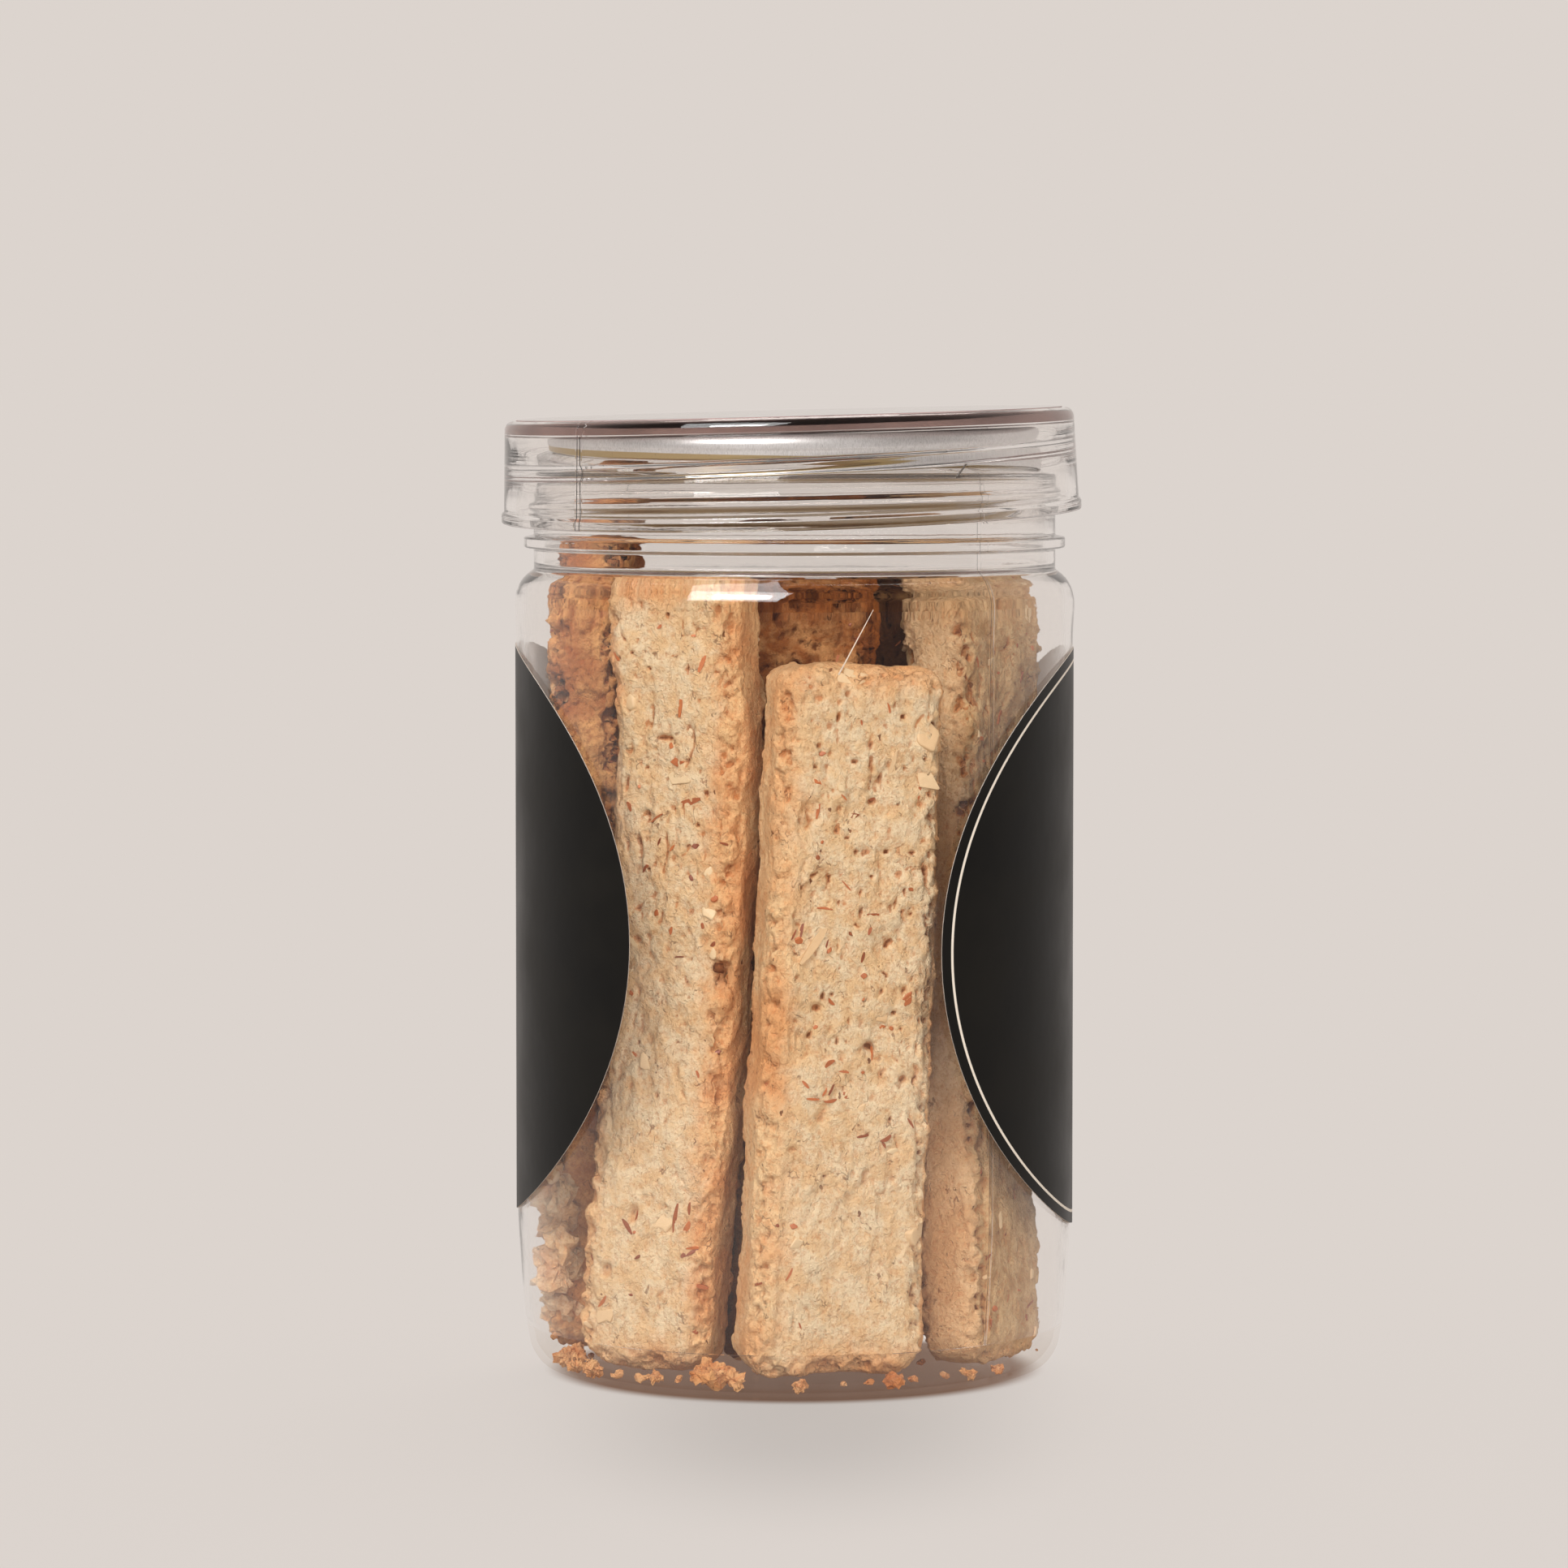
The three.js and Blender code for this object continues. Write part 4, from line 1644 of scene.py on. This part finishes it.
        Bench.smooth(bits, 50)
        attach(bits, "root")
        return bits

    def build(self) -> list[Piece]:
        """Makes the almond bits and the bits of skin.

        Returns:
            Both pieces.
        """
        meat = NutMeat("almond_meat")
        skin = NutMeat("almond_skin", srgb(206, 118, 62), srgb(132, 66, 36), 0.5)
        return [self.gather("almond_chunks", Mark.MEAT, meat.make()),
                self.gather("almond_skins", Mark.SKIN, skin.make())]


@dataclass
class Crumbs:
    """Loose crumbs on the bottom of the jar, those that were seen first.

    Attributes:
        count: How many there are.
        seed: Seed of their shapes and places.
        room: Radius in millimetres that they stay within.
        held_above: Height from which on they are broken bits held by the slices, with less crust.
        known: X, Y and width in millimetres, flatness, and the height of those that are held up.
    """

    count: int = 70
    seed: int = 9
    room: float = 40.6
    held_above: float = 7.0
    known: tuple[tuple[float, ...], ...] = (
        (-12.6, -34.2, 5.8, 0.5, 3.9), (-9.0, -35.2, 3.8, 0.5, 3.0), (0.8, -36.0, 2.8, 0.6),
        (-20.5, -31.0, 2.6, 0.5), (-33.8, -9.5, 4.6, 0.7), (-33.0, -14.5, 3.6, 0.5),
        (-30.5, -19.5, 4.2, 0.4), (15.2, -34.0, 3.6, 0.35), (22.4, -30.6, 1.6, 0.4),
        (-17.2, -33.4, 1.4, 0.6), (-22.6, -29.4, 2.0, 0.5), (7.2, -36.4, 1.2, 0.6),
        (26.0, -26.6, 2.4, 0.45), (-15.0, -34.6, 1.8, 0.6), (11.0, -35.6, 1.6, 0.5),
        (30.5, -21.0, 2.2, 0.5), (17.6, -33.0, 1.8, 0.5), (-26.6, -25.4, 2.0, 0.5),
        (-36.0, -4.0, 8.0, 1.4, 26.0), (-35.8, -6.0, 7.2, 1.4, 18.0),
        (-35.2, -3.0, 6.6, 1.2, 11.0), (-37.0, 1.0, 6.0, 1.4, 33.0),
    )

    def build(self) -> Piece:
        """Models the crumbs and sets them down.

        Returns:
            All crumbs as one piece.
        """
        rng = random.Random(self.seed)
        spots = list(self.known)
        while len(spots) < self.count:
            reach, way = rng.uniform(6, 37.4), rng.uniform(0, 2 * math.pi)
            spots.append((reach * math.cos(way), reach * math.sin(way), rng.uniform(0.4, 1.7), 0.7))
        made = [self.crumb(rng, *spot) for spot in spots]
        Bench.take(made[0])
        for crumb in made:
            crumb.select_set(True)
        bpy.ops.object.join()
        crumbs = Bench.named("loose_crumbs")
        Bench.settle(crumbs)
        Bench.smooth(crumbs, 35)
        place = Bench.places(crumbs)
        place[:, :2] *= np.minimum(1, self.room * MM / np.hypot(place[:, 0], place[:, 1]))[:, None]
        Bench.move(crumbs, place)
        Bench.record(crumbs, "crust", np.where(place[:, 2] > self.held_above * MM, 0.2, 0.6))
        Bench.record(crumbs, "hollow", np.zeros(len(place)))
        dough = BakedDough("crumb_dough", 0.2, crust_pale=srgb(240, 182, 122), crust_brown=srgb(200, 122, 66))
        crumbs.data.materials.append(dough.make())
        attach(crumbs, "root")
        return crumbs

    def crumb(self, rng: random.Random, x: float, y: float, size: float, flat: float,
              height: float | None = None) -> Piece:
        """Models one crumb and sets it down.

        Args:
            rng: The seeded draw for its shape and how it lies.
            x: Where it lies.
            y: Where it lies.
            size: Its width in millimetres.
            flat: Its height as a share of its width.
            height: The height that it is held at, or none if it lies on the bottom.

        Returns:
            The crumb.
        """
        Bench.clear()
        finer = (size > 2) + (size > 4)
        bpy.ops.mesh.primitive_ico_sphere_add(subdivisions=2 + finer, radius=0.4 * size * MM)
        crumb = Bench.named("crumb")
        with Bench.edit(crumb):
            bpy.ops.mesh.select_all(action="SELECT")
            bpy.ops.transform.resize(value=(rng.uniform(1.0, 1.4), rng.uniform(0.7, 1.0), 1.3 * flat))
            bpy.ops.transform.vertex_random(offset=0.03 * size * MM, seed=rng.randrange(1, 9999))
        reach = math.hypot(x, y)
        bottom = 1.8 if reach < 31 else 1.2 + 0.12 * max(0.0, reach - 34) ** 2
        lean = 0.4 if height is None else 0.12
        crumb.rotation_euler = (rng.uniform(-lean, lean), rng.uniform(-lean, lean), rng.uniform(0, 6.2))
        z = bottom + 0.42 * size * flat if height is None else height
        crumb.location = (x * MM, y * MM, z * MM)
        if size > 1.1:
            self.crumble(crumb, size)
        return crumb

    @staticmethod
    def crumble(crumb: Piece, size: float) -> None:
        """Breaks one crumb's surface up.

        Args:
            crumb: The crumb, set in its place.
            size: Its width in millimetres.
        """
        bpy.context.view_layer.update()
        for grain, depth in ((0.42, 0.85), (0.17, 0.45)):
            texture = bpy.data.textures.new("crumble", "CLOUDS")
            texture.noise_scale = grain * size * MM
            texture.noise_depth = 2
            press = crumb.modifiers.new("crumble", "DISPLACE")
            press.texture = texture
            press.texture_coords = "GLOBAL"
            press.strength = depth * size * MM
            press.mid_level = 0.5
        Bench.finish_modifiers(crumb)


@dataclass
class Strand:
    """A hair-thin strand that clings to the clear wall."""

    name: str
    top: tuple[float, float, float]
    end: tuple[float, float, float]
    thin: float
    thick: float
    light: Colour
    deep: Colour

    def build(self) -> Piece:
        """Draws the strand out between its two ends.

        Returns:
            The strand.
        """
        start, end = Vector(self.end) * MM, Vector(self.top) * MM
        Bench.clear()
        bpy.ops.mesh.primitive_cone_add(vertices=8, radius1=self.thick * MM, radius2=self.thin * MM,
                                        depth=(end - start).length, location=(start + end) / 2,
                                        rotation=(end - start).to_track_quat("Z", "Y").to_euler())
        strand = Bench.named(self.name)
        Bench.settle(strand)
        with Bench.edit(strand):
            bpy.ops.mesh.select_all(action="SELECT")
            bpy.ops.mesh.bevel(offset=0.02 * MM, segments=1)
        Bench.smooth(strand, 60)
        strand.data.materials.append(NutMeat(self.name, self.light, self.deep).make())
        Bench.record(strand, "tone", np.full(len(strand.data.vertices), 0.4))
        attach(strand, "root")
        return strand


@dataclass(frozen=True)
class Softbox:
    """A softbox that faces the jar.

    Attributes:
        name: Name of the lamp.
        turn: Degrees from the front, towards +X.
        height: Degrees above the jar's middle.
        wide: Width in metres.
        high: Height in metres.
        glow: Brightness of its face.
        lights: Whether it lights dull surfaces.
        glints: Whether it shows in glossy ones.
    """

    name: str
    turn: float
    height: float
    wide: float
    high: float
    glow: float
    lights: bool = True
    glints: bool = True


SOFTBOXES = (
    Softbox("key_softbox", -27, 40, 0.74, 0.56, 8.2),
    Softbox("fill_softbox", 14, 14, 0.9, 0.9, 3.7, glints=False),
    Softbox("glint_strip", -24, 38, 0.42, 0.24, 26.0, lights=False),
)


@dataclass
class Studio:
    """Pale floor, soft lamps and the camera.

    Attributes:
        tone: Colour of the floor and the room.
        reach: How far the softboxes hang from the jar's middle, in metres.
        lens: Focal length of the camera in millimetres.
        film_width: Width of the camera's film in millimetres.
        eye: Place of the camera in millimetres.
        pitch: Degrees that the camera looks down.
        front: Brightness of the room before the jar, as a share of that behind it.
        floor_r: Radius of the floor in metres.
        gap: How far the floor lies under the jar, in millimetres.
        broad_turn: Degrees of the broad lamp from the front, towards +X.
        broad_height: Degrees of the broad lamp above the jar's middle.
        broad_angle: How wide it looks from the jar, in degrees.
        broad_energy: Its strength.
    """

    tone: Colour = srgb(220, 212, 206)
    reach: float = 1.2
    lens: float = 155.3
    film_width: float = 36.0
    eye: tuple[float, float, float] = (-1.6, -1033.0, 152.0)
    pitch: float = 3.45
    front: float = 0.2
    floor_r: float = 60.0
    gap: float = 0.15
    broad_turn: float = 174.0
    broad_height: float = 56.0
    broad_angle: float = 34.0
    broad_energy: float = 1.2

    def floor(self) -> Piece:
        """Lays the floor out to the horizon.

        Returns:
            The floor.
        """
        Bench.clear()
        bpy.ops.mesh.primitive_circle_add(vertices=64, radius=self.floor_r, fill_type="NGON",
                                          location=(0, 0, -self.gap * MM))
        floor = Bench.named("studio_floor")
        Bench.settle(floor)
        floor.data.materials.append(Sweep("pale_floor", self.tone).make())
        return floor

    def hang(self, data: bpy.types.Light, turn: float, height: float, far: float) -> Piece:
        """Hangs a lamp so that it faces the jar.

        Args:
            data: The lamp.
            turn: Degrees from the front, towards +X.
            height: Degrees above the jar's middle.
            far: Metres from the jar's middle.

        Returns:
            The hung lamp.
        """
        lamp = bpy.data.objects.new(data.name, data)
        a, h = math.radians(turn), math.radians(height)
        way = Vector((math.sin(a) * math.cos(h), -math.cos(a) * math.cos(h), math.sin(h)))
        lamp.location = way * far + Vector((0, 0, 0.08))
        lamp.rotation_euler = way.to_track_quat("Z", "Y").to_euler()
        bpy.context.collection.objects.link(lamp)
        return lamp

    def softbox(self, box: Softbox, floor: Piece) -> None:
        """Hangs a softbox that lights the jar but leaves the floor alone.

        Args:
            box: The softbox.
            floor: The floor that it leaves alone.
        """
        data = bpy.data.lights.new(box.name, "AREA")
        data.shape = "RECTANGLE"
        data.size, data.size_y = box.wide, box.high
        data.energy = box.glow * math.pi * box.wide * box.high
        lamp = self.hang(data, box.turn, box.height, self.reach)
        spared = bpy.data.collections.new(box.name + "_spares")
        spared.objects.link(floor)
        lamp.light_linking.receiver_collection = spared
        spared.collection_objects[0].light_linking.link_state = "EXCLUDE"
        lamp.visible_diffuse = box.lights
        lamp.visible_glossy = box.glints
        lamp.visible_transmission = box.lights and box.glints

    def world(self) -> None:
        """Sets the pale room round the studio, dimmer towards the front."""
        world = bpy.data.worlds.new("soft_room")
        world.use_nodes = True
        back = world.node_tree.nodes["Background"]
        back.inputs[0].default_value = (*self.tone, 1)
        nodes, links = world.node_tree.nodes, world.node_tree.links
        way, split, dim = (nodes.new("ShaderNode" + kind) for kind in ("TexCoord", "SeparateXYZ", "MapRange"))
        dim.interpolation_type = "SMOOTHSTEP"
        for slot, value in zip(range(1, 5), (-0.35, 0.35, self.front, 1.0)):
            dim.inputs[slot].default_value = value
        links.new(way.outputs["Generated"], split.inputs[0])
        links.new(split.outputs[1], dim.inputs[0])
        links.new(dim.outputs[0], back.inputs[1])
        bpy.context.scene.world = world

    def lamps(self, floor: Piece) -> None:
        """Hangs the softboxes before the jar and the broad lamp above and behind it.

        Args:
            floor: The floor that only the broad lamp lights.
        """
        for box in SOFTBOXES:
            self.softbox(box, floor)
        data = bpy.data.lights.new("top_softbox", "SUN")
        data.angle = math.radians(self.broad_angle)
        data.energy = self.broad_energy
        data.color = tuple(value / self.tone[0] for value in self.tone)
        self.hang(data, self.broad_turn, self.broad_height, 2 * self.reach)

    def camera(self) -> None:
        """Sets the camera up before the jar."""
        data = bpy.data.cameras.new("camera")
        data.lens = self.lens
        data.sensor_width = self.film_width
        data.clip_start, data.clip_end = 0.05, 200
        camera = bpy.data.objects.new("camera", data)
        camera.location = Vector(self.eye) * MM
        camera.rotation_euler = (math.radians(90 - self.pitch), 0, 0)
        bpy.context.collection.objects.link(camera)
        bpy.context.scene.camera = camera

    @staticmethod
    def film() -> None:
        """Sets plain film and enough bounces for the layers of clear plastic."""
        scene = bpy.context.scene
        scene.view_settings.view_transform = "Standard"
        scene.view_settings.look = "None"
        scene.cycles.max_bounces = 26
        scene.cycles.transmission_bounces = 24
        scene.cycles.transparent_max_bounces = 32
        scene.cycles.diffuse_bounces = 4
        scene.cycles.glossy_bounces = 8
        scene.cycles.caustics_reflective = False

    def build(self) -> None:
        """Sets up the floor, the world, the lamps, the camera and the film."""
        floor = self.floor()
        self.world()
        self.lamps(floor)
        self.camera()
        self.film()


SEEN_LEFT = (
    Seen(Mark.MEAT, (
        (2.4, 29.5, 3.3, 3.1, 5), (7.1, 9.7, 2.0, 1.8, 0), (2.0, -36.4, 3.6, 3.3, 10),
    )),
    Seen(Mark.SKIN, (
        (-11.0, 34.3, 0.6, 0.8, 90), (0.6, 34.7, 1.0, 0.5, 90), (1.6, 32.4, 2.1, 1.1, -10),
        (3.7, 26.4, 3.0, 0.8, 15), (-4.5, 28.4, 0.5, 0.5, 0), (-6.2, 25.4, 1.2, 0.5, 115),
        (4.9, 19.9, 1.1, 0.8, 0), (1.3, 19.4, 1.0, 0.3, 50), (9.5, 20.2, 1.3, 0.3, -20),
        (-2.8, 16.6, 0.4, 0.4, 0), (4.3, 15.0, 1.0, 0.6, -50), (8.0, 11.9, 1.3, 1.0, 35),
        (-1.0, 9.6, 1.1, 0.6, 80), (1.4, 7.0, 1.0, 0.4, 75), (6.4, 7.9, 1.0, 0.5, -70),
        (5.7, 47.3, 2.7, 0.7, 72), (2.3, 40.9, 3.1, 0.5, 84), (4.5, -36.1, 3.6, 0.5, 80),
        (6.2, -37.6, 1.9, 0.7, 60), (-3.3, -37.7, 2.2, 0.5, -55), (7.1, -41.1, 2.3, 0.8, 25),
        (-1.1, -42.0, 1.0, 0.5, 20), (-9.3, -43.1, 2.4, 0.4, -75), (8.4, -53.0, 1.2, 0.8, -50),
        (9.0, -46.2, 1.7, 0.6, -15), (-6.6, -49.2, 1.9, 0.4, 50),
    )),
    Seen(Mark.PIT, (
        (-0.5, 35.8, 2.4, 0.8, 0), (-6.7, 28.8, 2.4, 0.6, 75), (-3.4, 24.5, 1.0, 0.8, 0),
        (-2.5, -36.0, 2.4, 1.2, 80), (-6.3, -44.4, 1.9, 1.5, 70), (-7.1, -51.7, 1.0, 0.7, 30),
    )),
)

SEEN_CENTRE = (
    Seen(Mark.MEAT, (
        (-2.0, 51.5, 4.3, 2.6, 0), (9.4, 42.4, 3.2, 4.6, 8), (10.6, 35.6, 3.1, 3.8, -12),
        (-6.0, 12.7, 6.9, 1.0, 56),
    )),
    Seen(Mark.SKIN, (
        (9.2, 35.5, 3.6, 0.5, 85), (-6.2, 31.7, 1.8, 0.4, 78), (-5.8, 40.2, 1.1, 0.6, 20),
        (-6.6, 36.1, 1.1, 0.6, -40), (-0.6, 30.9, 1.2, 0.6, 10), (2.3, 33.4, 1.1, 0.4, 20),
        (-4.7, 17.2, 1.9, 0.3, -8), (2.7, 16.2, 2.4, 0.3, 0), (-8.0, 14.2, 1.9, 0.4, 78),
        (-8.5, 12.6, 1.3, 1.0, 10), (-3.9, 11.1, 1.1, 0.5, 50), (-0.7, 13.5, 0.8, 0.4, -60),
        (2.2, 13.8, 1.0, 0.4, 70), (1.3, 9.9, 1.3, 0.4, 75), (8.3, 3.6, 1.9, 1.0, 60),
        (4.8, -0.6, 0.8, 0.5, 0), (6.1, -0.8, 0.7, 0.5, -30), (-3.2, 3.4, 1.1, 0.4, -50),
        (-5.4, -0.4, 0.8, 0.5, 40), (-3.2, -5.8, 1.4, 0.5, 35), (-1.0, -7.1, 1.3, 0.4, -10),
        (2.0, -7.3, 0.6, 0.4, 0), (-0.4, -10.7, 1.2, 1.1, 0), (-6.8, -8.8, 1.2, 0.4, -50),
        (-2.8, -11.3, 1.6, 0.4, 10), (-5.6, -11.0, 1.6, 0.3, -5), (-12.0, -8.9, 1.1, 0.3, -65),
        (2.3, -16.8, 1.4, 0.4, 10), (5.8, -17.2, 1.4, 0.5, 30), (-7.7, -30.0, 1.2, 0.7, 0),
        (-8.2, -37.0, 1.7, 0.3, 60), (-12.2, -38.2, 1.7, 0.3, 20),
    )),
    Seen(Mark.PIT, (
        (0.4, 50.8, 1.8, 1.0, 20), (2.1, 33.0, 1.3, 1.0, 0), (-8.5, 50.1, 0.8, 0.7, 0),
        (6.4, 45.5, 0.8, 0.7, 0), (-1.0, 39.1, 1.0, 0.7, 0), (-4.0, 45.7, 1.4, 0.5, 85),
        (-10.1, 42.2, 0.8, 0.6, 0), (8.6, 25.3, 1.0, 0.7, 0), (4.6, 25.5, 0.7, 0.7, 0),
        (-0.3, 25.6, 0.8, 0.7, 0), (0.8, 16.5, 1.4, 0.7, 85), (-9.5, 11.1, 2.2, 0.5, -55),
        (-5.5, 2.5, 1.3, 1.1, 0), (-4.7, 4.2, 1.2, 0.7, 80), (3.1, -3.5, 1.4, 1.2, 0),
        (-6.5, -1.6, 1.1, 0.7, 60), (-2.2, -2.5, 1.2, 0.6, 85), (8.4, -8.5, 1.3, 1.1, 30),
        (6.5, -14.4, 1.0, 0.5, 80), (-8.6, -18.5, 1.2, 0.8, 0), (-10.9, -50.2, 1.4, 1.1, 0),
    )),
)


def slices() -> list[Biscotto]:
    """Lists the eight slices where they stand in the jar.

    Returns:
        The slices, front ones first.
    """
    plain = BakedDough("plain_dough")
    browned = BakedDough("browned_dough", crust_pale=srgb(242, 198, 144), crust_brown=srgb(226, 157, 101))
    greyer = BakedDough("greyer_dough", 0.05, srgb(220, 184, 136), srgb(192, 149, 101), srgb(238, 202, 157),
                        srgb(217, 169, 120))
    toasted = BakedDough("toasted_dough", 0.2, srgb(255, 214, 158), srgb(244, 178, 114), srgb(250, 190, 122),
                         srgb(178, 104, 54), srgb(176, 98, 46), srgb(122, 64, 30))
    # Dark toasted dough, darkened further as painted shade for the slices that stand deep in the jar.
    dark = BakedDough("dark_dough", 0.3, srgb(216, 158, 100), srgb(160, 94, 44), srgb(180, 105, 47),
                      srgb(106, 52, 18), srgb(112, 56, 20), srgb(66, 32, 12))
    # Painted shade: this dough is darkened to the shade of the deep gap at the back right; only its far side
    # takes a lighter baked colour.
    deep = BakedDough("deep_dough", 0.3, srgb(128, 80, 48), srgb(96, 54, 30), srgb(104, 60, 32),
                      srgb(64, 34, 16), srgb(60, 30, 14), srgb(40, 20, 10), srgb(214, 158, 102))
    return [
        Biscotto("biscotto_front_left", 11, SliceEnd(-21.2, -17.6, 2.6, 21.4, 12.0, -24),
                 SliceEnd(-16.7, -20.9, 122.0, 21.4, 12.0, -24), 0.34, browned, 3.5, 5.5, cap=8.0,
                 calm=0.55, bow=1.4, seen=SEEN_LEFT),
        Biscotto("biscotto_front_centre", 23, SliceEnd(4.9, -27.3, 2.9, 27.3, 12.0, 16),
                 SliceEnd(8.9, -28.6, 109.3, 25.6, 12.0, 14), 0.34, plain, 7.5, 0.8, cap=7.5,
                 calm=0.6, seen=SEEN_CENTRE),
        Biscotto("biscotto_right", 37, SliceEnd(28.2, -10.6, 2.6, 24.5, 11.5, 64),
                 SliceEnd(27.2, 0.8, 119.4, 25.6, 12.0, 56), 0.4, greyer, 1.2, 2.0,
                 calm=0.9),
        Biscotto("biscotto_left", 41, SliceEnd(-31.8, 3.3, 3.2, 19.5, 11.5, 82),
                 SliceEnd(-29.6, 2.4, 127.6, 21.6, 11.5, 80), 0.36, toasted, 2.5, 2.5, 2.0, 1.0,
                 top_shade=0.42),
        Biscotto("biscotto_middle", 59, SliceEnd(0.5, -5.8, 2.7, 26.0, 11.5, 0),
                 SliceEnd(-0.5, -8.5, 119.8, 26.0, 11.5, 2), 0.38, dark, 4.0, 4.0, 2.0, 1.0),
        Biscotto("biscotto_back_middle", 67, SliceEnd(1.0, 13.5, 2.7, 22.9, 11.1, 154.5),
                 SliceEnd(1.2, 13.5, 118.5, 22.9, 11.1, 154.5), dough=dark),
        Biscotto("biscotto_back_left", 79, SliceEnd(-17.6, 25.7, 2.6, 22.0, 10.8, 32.7),
                 SliceEnd(-17.6, 25.7, 113.0, 22.0, 10.8, 32.7), dough=plain),
        Biscotto("biscotto_back_right", 97, SliceEnd(16.4, 23.5, 2.6, 21.3, 12.0, 152.7),
                 SliceEnd(16.4, 23.5, 119.5, 21.3, 12.0, 152.7), dough=deep),
    ]


def report(step: str, pieces: Sequence[Piece]) -> None:
    """Logs the pieces of one step with their faces.

    Args:
        step: What was made.
        pieces: The pieces.
    """
    for piece in pieces:
        LOG.info("%s: %s, %d faces", step, piece.name, len(piece.data.polygons))


def main() -> None:
    """Builds the jar, its lid and its contents in order, and the studio round them."""
    logging.basicConfig(level=logging.INFO, format="%(message)s")
    Studio().build()
    report("jar", [ClearJar().build()])
    report("lid", ScrewLid().build())
    report("end", [SeamedEnd().build()])
    labels = [WrappedLabel("left_label", "label_left", -93, 68.0, 43.4),
              WrappedLabel("right_label", "label_right", 89.5, 66.7, 44.1, 1.85)]
    report("labels", [label.build() for label in labels])
    stretch = bpy.data.objects.new("stretch", None)
    stretch.scale = (1, 1, 1.9)
    bpy.context.collection.objects.link(stretch)
    stack = slices()
    report("slices", [one.build(stretch) for one in stack])
    bpy.data.objects.remove(stretch)
    report("almonds", AlmondBits(stack).build())
    report("crumbs", [Crumbs().build()])
    strands = [
        Strand("pale_strand", (11.5, -41.2, 117.8), (6.4, -42.35, 108.3), 0.05, 0.13,
               srgb(226, 208, 190), srgb(206, 180, 156)),
        Strand("fleck_stem", (25.25, -36.0, 139.1), (23.75, -37.0, 137.15), 0.12, 0.17,
               srgb(92, 82, 74), srgb(58, 50, 44)),
        Strand("fleck_foot", (25.0, -36.1, 137.3), (23.75, -37.0, 137.1), 0.07, 0.12,
               srgb(92, 82, 74), srgb(58, 50, 44)),
    ]
    report("strands", [strand.build() for strand in strands])
    Bench.clear()


if __name__ == "__main__":
    main()
